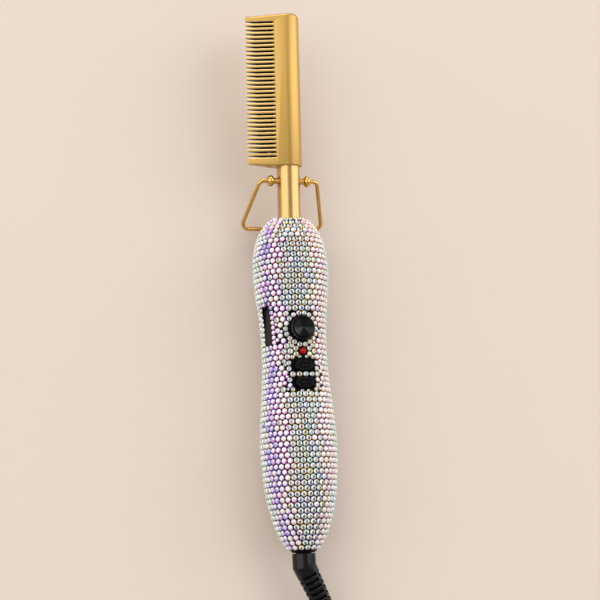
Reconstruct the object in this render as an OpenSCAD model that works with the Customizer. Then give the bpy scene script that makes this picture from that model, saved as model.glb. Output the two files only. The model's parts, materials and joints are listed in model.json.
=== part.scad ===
// Hot comb with a stone-covered handle, a folding wire stand and a swivel cord.
// It lies on its back: +Z is the side with the buttons, +Y points to the comb head,
// the teeth point to -X, and the floor is at z = 0. All lengths are in millimetres.

/* [Comb head] */
// Length of the head along the neck
head_len = 83; // [70:1:95]
// Radius of the round spine
spine_r = 7.4; // [7:0.1:8.5]
// Distance from the neck axis to the round of the tooth tips
tip_x = 21.6; // [19:0.1:21.8]
// Radius of the tooth tips, seen from the end
tip_r = 0.75; // [0.5:0.05:1.1]
// Number of gaps between the teeth
slot_count = 33; // [24:1:34]
// Distance from one gap to the next
slot_pitch = 2.29; // [2.1:0.01:2.3]
// Width of a gap
slot_w = 1.05; // [0.7:0.05:1.3]
// Distance from the neck axis to the closed end of the gaps
slot_root_x = 7.6; // [6:0.1:10]
// Height of the solid edge below the first gap, at the neck end
slot_margin = 4.7; // [4:0.1:6]
// How much lower the far edge is at the tooth tips than at the spine
head_slope = 1.6; // [0:0.1:2.5]
// Rounding of the spine's far corner
head_corner_r = 3; // [1:0.1:4]

/* [Heater] */
// Radius of the heater cartridge
heater_r = 3; // [2.5:0.1:3.1]
// Length of the heater cartridge
heater_len = 60; // [40:1:66]
// Radius of the temperature sensor
sensor_r = 0.7; // [0.5:0.05:0.7]
// Radius of the wires inside
lead_r = 0.7; // [0.5:0.05:0.75]

/* [Neck] */
// Outer radius of the neck tube
tube_r = 6.2; // [6:0.1:6.4]
// Wall of the neck tube
tube_wall = 0.9; // [0.7:0.1:1]
// Length of tube that shows between the handle and the head
neck_len = 26; // [24:1:32]
// Depth of the tube in the head
socket_depth = 8; // [6:0.5:10]
// Forward lean of the neck, in degrees
lean = 5; // [3:0.5:6]
// Distance below the top of the handle at which the two axes cross
lean_at = 38; // [34:1:40]

/* [Wire stand] */
// Radius of the wire
wire_r = 1.1; // [0.8:0.1:1.3]
// Distance from the hinge to the cross wire
stand_len = 29.2; // [26.5:0.1:30]
// Half the width of the stand at its cross wire
stand_foot_x = 23; // [20:0.5:24]
// Half the width of the stand at its hinge
stand_shoulder_x = 15.8; // [15:0.1:18]
// Distance of the hinge above the top of the handle
hinge_up = 18.2; // [17:0.1:19]
// Angle between the folded stand and the neck
fold_angle = 35.5; // [31:0.5:36]
// Radius of the beads beside the hinge
bead_r = 3.1; // [2.5:0.1:3.5]
// Width of a bead
bead_w = 3.6; // [3:0.1:4.2]
// Length of hinge bush that shows
bush_len = 2; // [1.5:0.1:2.5]
// Radius of a hinge bush
bush_r = 1.7; // [1.5:0.05:2]

/* [Handle] */
// Radius of the two bellies, over the stones
belly_r = 20.3; // [19.8:0.1:22]
// Radius of the waist, over the stones
waist_r = 17.4; // [17.2:0.1:18.5]
// Length of the handle, from its top to its last stones
handle_len = 177; // [174:1:190]
// Distance of the upper belly below the top
upper_belly_d = 31; // [28:0.5:34]
// Distance of the waist below the top
waist_d = 77; // [70:1:82]
// Distance of the lower belly below the top
lower_belly_d = 124; // [118:1:128]
// Height of the stones
stone_h = 1.3; // [1:0.1:1.5]
// Distance from one row of stones to the next, along the surface
row_step = 2.84; // [2.4:0.02:3.4]
// Wall of the two shells
wall = 2.2; // [1.8:0.1:2.4]

/* [Controls] */
// Distance of the power button below the top of the handle
power_d = 64; // [60:0.5:66]
// Radius of the power button
power_r = 5.15; // [4.5:0.05:5.3]
// Distance from the power button to the power light
light_drop = 12; // [10.5:0.5:13]
// Radius of the power light
light_r = 1.7; // [1.2:0.1:1.9]
// Distance from the power light to the upper key
key_drop = 7.6; // [6.8:0.1:8.4]
// Distance from the upper key to the lower key
key_pitch = 8.9; // [8.2:0.1:10]
// Length of a key across the handle
key_w = 10; // [8:0.1:10.2]
// Length of a key along the handle
key_h = 5.4; // [4.5:0.1:5.8]
// Travel of the buttons and keys
travel = 0.6; // [0.4:0.1:0.8]
// Distance of the display window below the top of the handle
window_d = 61.4; // [60:0.1:63]
// Angle of the display window round the handle, from the buttons
window_angle = 69; // [64:0.5:70]
// Length of the display window
window_len = 19.6; // [16:0.1:21]
// Width of the display window
window_w = 7; // [6:0.1:8.4]

/* [Circuit board] */
// Length of board above the power button
board_above = 15; // [12:0.5:16]
// Length of board below the lower key
board_below = 28.5; // [26:0.5:32]
// Width of the board
board_w = 17; // [15:0.5:17.4]
// Thickness of the board
board_t = 1.6; // [1:0.1:1.8]
// Height of the board's upper face over the handle axis
board_z = 7.6; // [7:0.1:8]

/* [Cord swivel] */
// Radius of the swivel shaft
rotor_r = 4.2; // [3.8:0.1:4.4]
// Outer radius of the swivel socket
socket_r = 6.2; // [6:0.1:6.4]
// Outer radius of the contact rings
ring_r = 4.9; // [4.6:0.05:4.9]
// Radius of the cord boot where it meets the handle
boot_r = 6.15; // [5.6:0.05:6.6]
// Bend of the cord boot, in degrees
boot_bend = 28; // [20:1:30]
// Turn of the bent boot below the level, in degrees
boot_turn = 20; // [10:1:30]
// Length of the bent part of the boot
boot_len = 48; // [45:1:50]
// Number of ribs on the boot
rib_count = 12; // [8:1:12]

/* [Cord] */
// Radius of the cord
cord_r = 3; // [2.5:0.1:3]
// Radius of a plug pin
pin_r = 2; // [1.5:0.05:2.4]
// Distance between the plug pins
pin_gap = 19; // [17:0.1:20]
// Length of the plug pins outside the plug
pin_len = 19; // [15:0.5:20]

/* [Hidden] */
$fn = 48;

// Clearances: a running fit, a seat, a moving part beside a fixed one, and a cut past a face
run_gap = 0.05;
seat_gap = 0.02;
move_gap = 0.3;
over = 1;

// Handle outline: a blunt dome, two bellies with a waist between them, and a blunt tail
dome_over = 0.6;
tail_over = 5;
dome_pow = 2.25;
tail_pow = 2.1;
upper_pow = 3;
lower_pow = 2;
dome_len = upper_belly_d + dome_over;
tail_len = handle_len - lower_belly_d + tail_over;
outline_steps = 8;
core_r = 2;

// Controls, down the handle
light_d = power_d + light_drop;
upper_key_d = light_d + key_drop;
lower_key_d = upper_key_d + key_pitch;

// Neck frame: distances along the neck count from the point where the axes cross
tube_low = 12;
handle_top = lean_at;
head_low = handle_top + neck_len;
head_high = head_low + head_len;
hinge_at = handle_top + hinge_up;
head_top_y = head_high * cos(lean) + spine_r * sin(lean) - lean_at;

// Swivel, measured down from the top of the handle
socket_top_d = handle_len - 26;
socket_wall = 1;
socket_cap = 1.5;
lip_len = 3.5;
rotor_top_d = socket_top_d + 3;
rotor_flange = 1.5;
ring_w = 2.5;
ring_ds = [socket_top_d + 7, socket_top_d + 13];
collar_len = 2.2;
collar_r = 7.9;
boot_top_d = handle_len + collar_len + move_gap;
rotor_end_d = boot_top_d + 4.5;
knee_d = boot_top_d + 6.5;

// Place of the handle: the whole part but its cord is centred in Y, and its bellies lie on the floor
dome_y = (rotor_end_d - head_top_y) / 2;
axis_z = belly_r;

function smooth_end(u, p) = pow(1 - pow(u, p), 1 / p);
function body_r(d, inset) =
    d < upper_belly_d ? (belly_r - inset) * smooth_end((upper_belly_d - d) / (dome_len - inset), dome_pow) :
    d < waist_d ? waist_r - inset + (belly_r - waist_r)
        * pow(cos(90 * (d - upper_belly_d) / (waist_d - upper_belly_d)), upper_pow) :
    d < lower_belly_d ? waist_r - inset + (belly_r - waist_r)
        * pow(cos(90 * (lower_belly_d - d) / (lower_belly_d - waist_d)), lower_pow) :
    (belly_r - inset) * smooth_end((d - lower_belly_d) / (tail_len - inset), tail_pow);
function dome_start(r, inset) =
    upper_belly_d - (dome_len - inset) * smooth_end(r / (belly_r - inset), dome_pow);
// Points along a stretch of the outline, closer together at the dome than along the grip
function stretch(a, b, inset, steps) = [
    for (i = [0:steps]) let (d = a + (b - a) * i / steps) [body_r(d, inset), d]];
function dome_points(inset) = let (top = dome_start(core_r, inset)) [
    for (i = [0:outline_steps - 1]) let (u = i / outline_steps, d = top + (upper_belly_d - top) * u * u)
        [i == 0 ? core_r : body_r(d, inset), d]];
function tail_points(inset) = [
    for (i = [1:outline_steps]) let (
        u = 1 - i / outline_steps,
        d = handle_len - (handle_len - lower_belly_d) * u * u)
        [body_r(d, inset), d]];
function outline(inset) = concat(
    dome_points(inset),
    [for (p = stretch(upper_belly_d, waist_d, inset, outline_steps)) p],
    [for (i = [1:outline_steps]) let (d = waist_d + (lower_belly_d - waist_d) * i / outline_steps)
        [body_r(d, inset), d]],
    tail_points(inset));

// Places in the part's frame, from a place on the handle or on the neck
function on_handle(x, d, z) = [x, dome_y - d, axis_z + z];
function on_neck(x, s, n) = [x, dome_y - lean_at + s * cos(lean) - n * sin(lean),
    axis_z + s * sin(lean) + n * cos(lean)];

// Handle frame: X right, Y to the front, Z down the handle from its top
module in_handle() translate([0, dome_y, axis_z]) rotate([90, 0, 0]) children();
// Neck frame: X right, Y to the back, Z along the neck
module in_neck() translate([0, dome_y - lean_at, axis_z]) rotate([lean, 0, 0]) rotate([-90, 0, 0]) children();
module at_window() in_handle() translate([0, 0, window_d]) rotate([0, 0, window_angle]) children();
// A place on the front of the handle: Z points out of the front
module on_front(d, x = 0) translate([x, dome_y - d, axis_z]) children();

module ring(r_out, r_in, h) difference() {
    cylinder(r = r_out, h = h);
    translate([0, 0, -over]) cylinder(r = r_in, h = h + 2 * over);
}
// A block centred in X and Y, with rounded upright edges
module round_block(w, l, h, r) {
    for (x = [-1, 1], y = [-1, 1]) translate([x * (w / 2 - r), y * (l / 2 - r), 0]) cylinder(r = r, h = h);
    translate([-w / 2 + r, -l / 2, 0]) cube([w - 2 * r, l, h]);
    translate([-w / 2, -l / 2 + r, 0]) cube([w, l - 2 * r, h]);
}
module rod(a, b, r) let (v = b - a, l = norm(v))
    translate(a) rotate([0, acos(v[2] / l), atan2(v[1], v[0])]) cylinder(r = r, h = l, $fn = 24);
function unit(v) = v / norm(v);
function tangents(p) = [for (i = [0:len(p) - 1]) unit(p[min(i + 1, len(p) - 1)] - p[max(i - 1, 0)])];
// Rings of a tube: each ring's side vector is level, so that the tube doesn't twist
function tube_rings(p, t, r, sides) = [
    for (i = [0:len(p) - 1]) let (side = unit(cross(t[i], [0, 0, 1])), up = cross(side, t[i]))
        for (k = [0:sides - 1]) p[i] + r * (cos(360 * k / sides) * side + sin(360 * k / sides) * up)];
// A tube through given points, that starts in a given direction
module tube(points, first_dir, r, sides) {
    bare = tangents(points);
    t = [for (i = [0:len(points) - 1]) i == 0 ? unit(first_dir) : bare[i]];
    n = len(points);
    polyhedron(points = tube_rings(points, t, r, sides), faces = concat(
        [[for (k = [sides - 1:-1:0]) k]],
        [[for (k = [0:sides - 1]) (n - 1) * sides + k]],
        [for (i = [0:n - 2], k = [0:sides - 1]) let (a = i * sides, b = a + sides, m = (k + 1) % sides)
            [a + m, b + m, b + k, a + k]]));
}
// A wire through given points, with round corners of its own radius
module wire_run(points, r) {
    for (i = [1:len(points) - 1]) rod(points[i - 1], points[i], r);
    for (i = [1:len(points) - 2]) translate(points[i]) sphere(r = r * 1.03, $fn = 24);
}

// ---- Comb head ----
tooth_slope = asin((spine_r - tip_r) / tip_x);
heater_gap = 0.1;
heater_from = head_low + socket_depth;
sensor_n = heater_r + heater_gap + sensor_r + heater_gap + 0.5;
head_end_wall = 6;
comb_screw_x = -10.5;
comb_screw_r = 1;
comb_screw_len = 6;
comb_screw_head_r = 1.7;
comb_screw_head_h = 1.2;

module head_section() {
    circle(r = spine_r);
    translate([-tip_x, 0]) circle(r = tip_r);
    polygon([
        [-spine_r * sin(tooth_slope), spine_r * cos(tooth_slope)],
        [-tip_x - tip_r * sin(tooth_slope), tip_r * cos(tooth_slope)],
        [-tip_x - tip_r * sin(tooth_slope), -tip_r * cos(tooth_slope)],
        [-spine_r * sin(tooth_slope), -spine_r * cos(tooth_slope)]]);
}
// Side view of the head, X across and Y along the neck, with a sloping far edge and a round corner
module head_side() {
    reach = tip_x + tip_r + over;
    corner = [for (a = [0:15:90])
        [spine_r - head_corner_r * (1 - cos(a)), head_high - head_corner_r * (1 - sin(a))]];
    polygon(concat(
        [[-reach, head_low + head_slope / 2], [-spine_r, head_low], [spine_r, head_low]],
        corner,
        [[0, head_high], [-reach, head_high - head_slope]]));
}
module comb_slots() for (i = [0:slot_count - 1])
    translate([-slot_root_x, 0, head_low + slot_margin + i * slot_pitch]) {
        translate([-tip_x, -spine_r, -slot_w / 2]) cube([tip_x - slot_w / 2, 2 * spine_r, slot_w]);
        translate([-slot_w / 2, spine_r, 0]) rotate([90, 0, 0])
            cylinder(r = slot_w / 2, h = 2 * spine_r, $fn = 24);
    }
module comb_head() color("goldenrod") in_neck() difference() {
    intersection() {
        translate([0, 0, head_low]) linear_extrude(head_len) head_section();
        translate([0, spine_r + over, 0]) rotate([90, 0, 0]) linear_extrude(2 * (spine_r + over)) head_side();
    }
    comb_slots();
    translate([0, 0, head_low - over]) cylinder(r = tube_r + seat_gap, h = socket_depth + over);
    translate([0, 0, heater_from - over])
        cylinder(r = heater_r + heater_gap, h = head_len - socket_depth - head_end_wall + over);
    translate([0, sensor_n, heater_from - over])
        cylinder(r = sensor_r + heater_gap, h = sensor_len + over + move_gap, $fn = 24);
    translate([comb_screw_x, 0, head_low - over]) cylinder(r = comb_screw_head_r + run_gap,
        h = comb_screw_seat + over, $fn = 24);
    translate([comb_screw_x, 0, head_low]) cylinder(r = comb_screw_r + seat_gap,
        h = comb_screw_seat + comb_screw_len + move_gap, $fn = 24);
}
comb_screw_seat = head_slope / 2 + comb_screw_head_h;
module comb_screw() color("dimgray") in_neck() translate([comb_screw_x, 0, head_low + comb_screw_seat]) {
    translate([0, 0, -comb_screw_head_h]) cylinder(r = comb_screw_head_r, h = comb_screw_head_h, $fn = 24);
    cylinder(r = comb_screw_r, h = comb_screw_len, $fn = 24);
}
module heater_cartridge() color("silver") in_neck() translate([0, 0, heater_from])
    cylinder(r = heater_r, h = heater_len);
lead_x = 1.1;
lead_n = 1.7;
lead_turn_s = tube_low - 4;
board_low_z = board_z - board_t;
board_top_d = power_d - board_above;
board_len = lower_key_d + board_below - board_top_d;
board_edge = 3;
module heater_leads() color("firebrick") for (side = [-1, 1])
    wire_run([
        on_neck(side * lead_x, heater_from, lead_n),
        on_neck(side * lead_x, lead_turn_s, lead_n),
        on_handle(side * lead_x * 2, board_top_d - 2, board_z + lead_r + move_gap),
        on_handle(side * lead_x * 2, board_top_d + 5, board_z + lead_r + seat_gap)], lead_r);
sensor_len = 8;
module thermistor() color("ivory") {
    in_neck() translate([0, sensor_n, heater_from]) cylinder(r = sensor_r, h = sensor_len, $fn = 24);
    wire_run([
        on_neck(0, heater_from, -sensor_n),
        on_neck(0, lead_turn_s - 4, -sensor_n),
        on_handle(0, board_top_d - 2, 0),
        on_handle(0, board_top_d + 1, board_low_z - sensor_r * 0.7)], sensor_r * 0.7);
}

// ---- Neck ----
bush_seat_low = 22;
bush_seat_high = 29.5;
neck_bush_r = 8.2;
tube_pin_r = 0.75;
tube_pin_at = (bush_seat_low + bush_seat_high) / 2;
hinge_hole_r = bush_r + seat_gap;
module across_neck(s) translate([0, 0, s]) rotate([0, 90, 0]) children();
module neck_tube() color("goldenrod") in_neck() difference() {
    translate([0, 0, tube_low]) ring(tube_r, tube_r - tube_wall, heater_from - tube_low);
    across_neck(hinge_at) translate([0, 0, -tube_r - over])
        cylinder(r = hinge_hole_r, h = 2 * (tube_r + over));
    across_neck(tube_pin_at) translate([0, 0, -tube_r - over])
        cylinder(r = tube_pin_r + seat_gap, h = 2 * (tube_r + over), $fn = 24);
}
module tube_pin() color("silver") in_neck() across_neck(tube_pin_at)
    translate([0, 0, -neck_bush_r + 0.2]) cylinder(r = tube_pin_r, h = 2 * neck_bush_r - 0.4, $fn = 24);
module neck_bush() color("dimgray") in_neck() difference() {
    translate([0, 0, bush_seat_low]) ring(neck_bush_r, tube_r + seat_gap, bush_seat_high - bush_seat_low);
    across_neck(tube_pin_at) translate([0, 0, -neck_bush_r - over])
        cylinder(r = tube_pin_r + seat_gap, h = 2 * (neck_bush_r + over), $fn = 24);
}
bush_in = 4.6;
bush_out = tube_r + bush_len;
bush_groove_at = 0.45;
module hinge_bushes() color("goldenrod") in_neck() across_neck(hinge_at)
    for (side = [0, 180]) rotate([side, 0, 0]) difference() {
        translate([0, 0, bush_in]) ring(bush_r, wire_r + run_gap, bush_out - bush_in);
        translate([0, 0, tube_r + bush_len * bush_groove_at]) ring(bush_r + over, bush_r - 0.25, 0.5);
    }

// ---- Wire stand ----
bead_from = bush_out + 0.1;
wire_end_x = 3.6;
wire_head_r = 1.5;
wire_head_w = bush_in - wire_end_x - 0.1;
shoulder_bend_r = 3;
foot_bend_r = 3.6;
bend_step = 15;
function heading(a, b) = atan2(b[1] - a[1], b[0] - a[0]);
function turn_of(a, b) = let (t = b - a) t > 180 ? t - 360 : t < -180 ? t + 360 : t;
// Points of a bend of radius r at point p, between headings a and b
function bend(p, a, b, r) = let (turn = turn_of(a, b), s = sign(turn), n = ceil(abs(turn) / bend_step),
    from = p - r * tan(abs(turn) / 2) * [cos(a), sin(a)], centre = from + s * r * [-sin(a), cos(a)])
    [for (i = [0:n]) let (h = a + turn * i / n) centre - s * r * [-sin(h), cos(h)]];
// A flat wire through given points, with a bend at each inner point
function bent_path(p, bends) = concat([p[0]],
    [for (i = [1:len(p) - 2])
        for (q = bend(p[i], heading(p[i - 1], p[i]), heading(p[i], p[i + 1]), bends[i - 1])) q],
    [p[len(p) - 1]]);
wire_sides = 20;
module in_stand() in_neck() translate([0, 0, hinge_at]) rotate([fold_angle, 0, 0]) rotate([90, 0, 0])
    children();
module wire_stand() color("goldenrod") in_stand() {
    path = bent_path([
        [-wire_end_x, 0], [-stand_shoulder_x, 0], [-stand_foot_x, -stand_len],
        [stand_foot_x, -stand_len], [stand_shoulder_x, 0], [wire_end_x, 0]],
        [shoulder_bend_r, foot_bend_r, foot_bend_r, shoulder_bend_r]);
    tube([for (q = path) [q[0], q[1], 0]], [-1, 0, 0], wire_r, wire_sides);
    for (side = [-1, 1]) translate([side * wire_end_x, 0, 0]) rotate([0, side * 90, 0])
        cylinder(r = wire_head_r, h = wire_head_w);
}
module stand_beads() color("gold") in_stand() for (side = [-1, 1]) rotate([0, side * 90, 0])
    translate([0, 0, bead_from + bead_w / 2]) rotate_extrude() intersection() {
        translate([bead_r - bead_w / 2, 0]) circle(r = bead_w / 2);
        translate([wire_r + seat_gap, -bead_w]) square(2 * bead_w);
    }

// ---- Handle shells and stones ----
dome_hollow_d = 6.5;
dome_rib_d = 9;
grip_from_d = 16;
grip_to_d = socket_top_d - 1;
tail_rib = 3;
tail_hollow_to_d = handle_len - 9;
cavity_inset = stone_h + wall;
neck_bore_r = tube_r + move_gap;
stone_bore_r = tube_r + move_gap;

module half_turn(front) in_handle() rotate([0, 0, front ? 0 : 180]) rotate_extrude(angle = 180) children();
module cavity(a, b, steps) polygon(concat(
    [[0, a]], stretch(a, b, cavity_inset, steps), [[0, b]]));
module shell_profile() difference() {
    polygon(concat(outline(stone_h), [[core_r, handle_len]]));
    cavity(grip_from_d, grip_to_d, 4 * outline_steps);
    cavity(socket_top_d + tail_rib - 1, tail_hollow_to_d, 3);
    translate([0, socket_top_d]) square([socket_r + seat_gap, handle_len]);
}
module solid_half(front, inset) half_turn(front) polygon(concat(outline(inset), [[core_r, handle_len]]));
// Rows of stones: one round bead for each row, evenly spaced along the surface, with grooves between them
first_row_d = 1.7;
last_row_d = handle_len - 2;
groove_deep = 0.9;
bead_share = 0.36;
stone_crown = 0;
function slope_at(d) = (body_r(d + 0.05, stone_h) - body_r(d - 0.05, stone_h)) / 0.1;
function next_row(d, part = 1) = d + part * row_step / norm([1, slope_at(d + 0.5 * part)]);
row_ds = [for (d = first_row_d; d < last_row_d; d = next_row(d)) d];
function bead_points(d) = [for (p = [-bead_share, bead_share, 0.5]) let (at = next_row(d, p))
    [body_r(at, p == 0.5 ? groove_deep : stone_crown), at]];
function rows_outline() = [for (d = row_ds) for (p = bead_points(d)) p];
module stone_profile() difference() {
    polygon(concat(
        [[0, dome_start(core_r, stone_h)]], rows_outline(), [[body_r(handle_len, stone_crown), handle_len],
        [0, handle_len]]));
    polygon(concat(
        [[0, dome_start(core_r, stone_h)]],
        outline(stone_h),
        [[body_r(handle_len, stone_h), handle_len + over], [0, handle_len + over]]));
}
module neck_bores() in_neck() {
    translate([0, 0, bush_seat_low - 3]) cylinder(r = neck_bore_r, h = neck_len);
    translate([0, 0, bush_seat_low - 3])
        cylinder(r = neck_bush_r + seat_gap, h = bush_seat_high - bush_seat_low + 3);
}
lead_hole_x = socket_r + 2.2;
module lead_holes() for (side = [-1, 1]) in_handle() translate([side * lead_hole_x, 0, grip_to_d - over])
    cylinder(r = lead_r + move_gap, h = tail_rib + 2 * over, $fn = 24);

// Screws that hold the shells together, two near each belly
shell_screw_x = 12.5;
shell_screw_ds = [upper_belly_d - 6, lower_belly_d + 10];
shell_boss_r = 2.9;
shell_screw_r = 1;
shell_screw_head_r = 2.1;
shell_screw_head_h = 2;
shell_screw_seat = -8;
shell_screw_tip = 7;
module at_shell_screws() for (d = shell_screw_ds, side = [-1, 1])
    on_front(d, side * shell_screw_x) children();

// Panel behind the controls
panel_z = waist_r - cavity_inset - 1.3;
panel_w = 13;
panel_from_d = power_d - power_r - 4;
panel_to_d = lower_key_d + key_h / 2 + 3;
board_post_x = 6;
board_post_r = 2;
board_screw_r = 0.8;
board_screw_head_r = 1.7;
board_screw_head_h = 1.2;
board_screw_len = 3;
board_ends = [board_top_d + board_edge, board_top_d + board_len - board_edge];
module at_board_screws() for (d = board_ends, side = [-1, 1]) on_front(d, side * board_post_x) children();

bezel_r = power_r + move_gap + 0.85;
key_frame_gap = move_gap;
key_frame_t = 0.6;
key_r = 1.8;
frame_w = key_w + 2 * (key_frame_gap + key_frame_t);
frame_h = key_h + 2 * (key_frame_gap + key_frame_t);
key_ds = [upper_key_d, lower_key_d];
lens_flange = 0.7;
module control_cuts(extra) {
    on_front(power_d) cylinder(r = bezel_r + seat_gap + extra * 4, h = belly_r + over);
    on_front(light_d) cylinder(r = light_r + seat_gap + extra * 5, h = belly_r + over, $fn = 24);
    for (d = key_ds) on_front(d)
        round_block(
            frame_w + 2 * (seat_gap + extra), frame_h + 2 * (seat_gap + extra),
            belly_r + over, key_r + key_frame_t);
}
// Window pocket: the display module lies behind the window, both in one frame of the front shell
window_low_r = waist_r - cavity_inset + 0.4;
window_t = 1.6;
module_t = 3.2;
pocket_wall = 1;
module window_cut(extra) at_window() translate([0, 0, 0]) rotate([-90, 0, 0])
    round_block(window_w + 2 * (seat_gap + extra), window_len + 2 * (seat_gap + extra), belly_r + over, 1);
module window_pocket() at_window() translate([0, window_low_r - module_t, 0]) rotate([-90, 0, 0])
    round_block(window_w + 2 * pocket_wall, window_len + 2 * pocket_wall, belly_r, 1.5);

module front_shell() color("black") difference() {
    union() {
        half_turn(true) shell_profile();
        intersection() {
            solid_half(true, stone_h + wall / 2);
            union() {
                on_front((panel_from_d + panel_to_d) / 2)
                    translate([-panel_w / 2, -(panel_to_d - panel_from_d) / 2, panel_z])
                    cube([panel_w, panel_to_d - panel_from_d, belly_r]);
                window_pocket();
                at_shell_screws() cylinder(r = shell_boss_r, h = belly_r);
                at_board_screws() translate([0, 0, board_z]) cylinder(r = board_post_r, h = belly_r);
            }
        }
    }
    neck_bores();
    lead_holes();
    control_cuts(0);
    window_cut(0);
    at_shell_screws() translate([0, 0, -over])
        cylinder(r = shell_screw_r + seat_gap, h = shell_screw_tip + over + 1, $fn = 24);
    at_board_screws() cylinder(r = board_screw_r + seat_gap, h = board_z + board_screw_len + 0.6, $fn = 24);
}
module rear_shell() color("black") difference() {
    union() {
        half_turn(false) shell_profile();
        intersection() {
            solid_half(false, stone_h + wall / 2);
            at_shell_screws() translate([0, 0, -belly_r]) cylinder(r = shell_boss_r, h = belly_r);
        }
    }
    neck_bores();
    lead_holes();
    at_shell_screws() translate([0, 0, shell_screw_seat - over])
        cylinder(r = shell_screw_r + run_gap, h = belly_r, $fn = 24);
    at_shell_screws() translate([0, 0, -belly_r])
        cylinder(r = shell_screw_head_r + run_gap, h = belly_r + shell_screw_seat, $fn = 24);
}
module shell_screws() color("silver") at_shell_screws() {
    translate([0, 0, shell_screw_seat - shell_screw_head_h])
        cylinder(r = shell_screw_head_r, h = shell_screw_head_h, $fn = 24);
    translate([0, 0, shell_screw_seat])
        cylinder(r = shell_screw_r, h = shell_screw_tip - shell_screw_seat, $fn = 24);
}
module stone_bore() in_neck() cylinder(r = stone_bore_r, h = lean_at + neck_len);
module front_stones() color("lavender") difference() {
    half_turn(true) stone_profile();
    stone_bore();
    control_cuts(0.15);
    window_cut(0.15);
}
module rear_stones() color("lavender") difference() {
    half_turn(false) stone_profile();
    stone_bore();
}

// ---- Controls ----
flange_t = 0.8;
flange_top = panel_z - move_gap;
flange_low = flange_top - flange_t;
power_top = waist_r + 3.3;
bezel_top = waist_r + 2.8;
bezel_foot_r = bezel_r + 0.35;
key_top = waist_r + 1.2;
key_frame_top = waist_r - 0.4;
key_bevel = 0.8;
module power_button() color("black") on_front(power_d) difference() {
    union() {
        translate([0, 0, flange_low]) cylinder(r = power_r + 0.6, h = flange_t);
        translate([0, 0, flange_low]) cylinder(r = power_r, h = power_top - flange_low);
    }
    translate([0, 0, power_top]) rotate_extrude()
        polygon([[0, over], [power_r - 0.6, over], [power_r - 0.6, 0], [0, -0.6]]);
}
module power_bezel() color("black") on_front(power_d) difference() {
    union() {
        translate([0, 0, panel_z]) cylinder(r = bezel_r, h = bezel_top - panel_z - 0.5);
        translate([0, 0, waist_r + 0.1])
            cylinder(r1 = bezel_foot_r, r2 = bezel_r - 0.3, h = bezel_top - waist_r - 0.1);
    }
    translate([0, 0, panel_z - over]) cylinder(r = power_r + move_gap, h = belly_r);
}
module key(d) color("black") on_front(d) {
    translate([0, 0, flange_low])
        round_block(key_w + 2 * key_frame_gap + 0.8, key_h + 2 * key_frame_gap + 0.8, flange_t, key_r);
    translate([0, 0, flange_low]) round_block(key_w, key_h, key_top - key_bevel - flange_low, key_r);
    translate([0, 0, key_top - key_bevel])
        round_block(key_w - key_bevel, key_h - key_bevel, key_bevel / 2, key_r - key_bevel / 2);
    translate([0, 0, key_top - key_bevel / 2])
        round_block(key_w - 2 * key_bevel, key_h - 2 * key_bevel, key_bevel / 2, key_r - key_bevel);
}
module upper_key() key(upper_key_d);
module lower_key() key(lower_key_d);
module key_frames() color("black") for (d = key_ds) on_front(d) translate([0, 0, panel_z]) difference() {
    round_block(frame_w, frame_h, key_frame_top - panel_z, key_r + key_frame_t);
    translate([0, 0, -over])
        round_block(key_w + 2 * key_frame_gap, key_h + 2 * key_frame_gap, belly_r, key_r + key_frame_gap);
}
lens_low = board_z + 2.2;
lens_top = waist_r - stone_h + 0.6;
module light_lens() color("red") on_front(light_d) {
    translate([0, 0, lens_low]) cylinder(r = light_r, h = lens_top - lens_low, $fn = 24);
    translate([0, 0, lens_top]) intersection() {
        sphere(r = light_r);
        translate([-light_r - over, -light_r - over, 0])
            cube([2 * (light_r + over), 2 * (light_r + over), light_r]);
    }
    translate([0, 0, panel_z - lens_flange]) cylinder(r = light_r + 0.5, h = lens_flange, $fn = 24);
}
module power_light() color("ivory") on_front(light_d) translate([-1.6, -1.4, board_z]) cube([3.2, 2.8, 1.9]);
module display_window() color("black") at_window() translate([0, window_low_r, 0]) rotate([-90, 0, 0])
    round_block(window_w, window_len, window_t, 1);
module display_module() color("dimgray") at_window()
    translate([0, window_low_r - module_t, 0]) rotate([-90, 0, 0])
    round_block(window_w - 0.2, window_len - 0.2, module_t, 1);

// ---- Circuit board ----
switch_w = 6;
switch_top = flange_low - travel - 0.4;
plunger_r = 1.4;
plunger_well_r = plunger_r + move_gap;
plunger_low = board_z + 1.4;
switch_ds = [power_d, upper_key_d, lower_key_d];
module circuit_board() color("darkgreen") difference() {
    on_front(board_top_d + board_len / 2) translate([-board_w / 2, -board_len / 2, board_low_z])
        cube([board_w, board_len, board_t]);
    at_board_screws() cylinder(r = board_screw_r + run_gap, h = belly_r, $fn = 24);
}
module board_screws() color("silver") at_board_screws() translate([0, 0, board_low_z]) {
    translate([0, 0, -board_screw_head_h]) cylinder(r = board_screw_head_r, h = board_screw_head_h, $fn = 24);
    cylinder(r = board_screw_r, h = board_t + board_screw_len, $fn = 24);
}
module switch_bodies() color("dimgray") for (d = switch_ds) on_front(d) difference() {
    translate([-switch_w / 2, -switch_w / 2, board_z]) cube([switch_w, switch_w, switch_top - board_z]);
    translate([0, 0, plunger_low - travel - 0.2]) cylinder(r = plunger_well_r, h = belly_r, $fn = 24);
}
module plunger(d) color("white") on_front(d) translate([0, 0, plunger_low])
    cylinder(r = plunger_r, h = flange_low - plunger_low, $fn = 24);
module power_plunger() plunger(power_d);
module upper_plunger() plunger(upper_key_d);
module lower_plunger() plunger(lower_key_d);
module under_board(x, d, size) on_front(d, x) translate([-size[0] / 2, -size[1] / 2, board_low_z - size[2]])
    cube(size);
chip_size = [6, 10, 1.8];
chip_d = lower_key_d + switch_w / 2 + 9.5;
capacitor_size = [12, 6, 9];
triac_size = [10, 15, 4.5];
module control_chip() color("black") on_front(chip_d)
    translate([-chip_size[0] / 2, -chip_size[1] / 2, board_z]) cube(chip_size);
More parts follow.
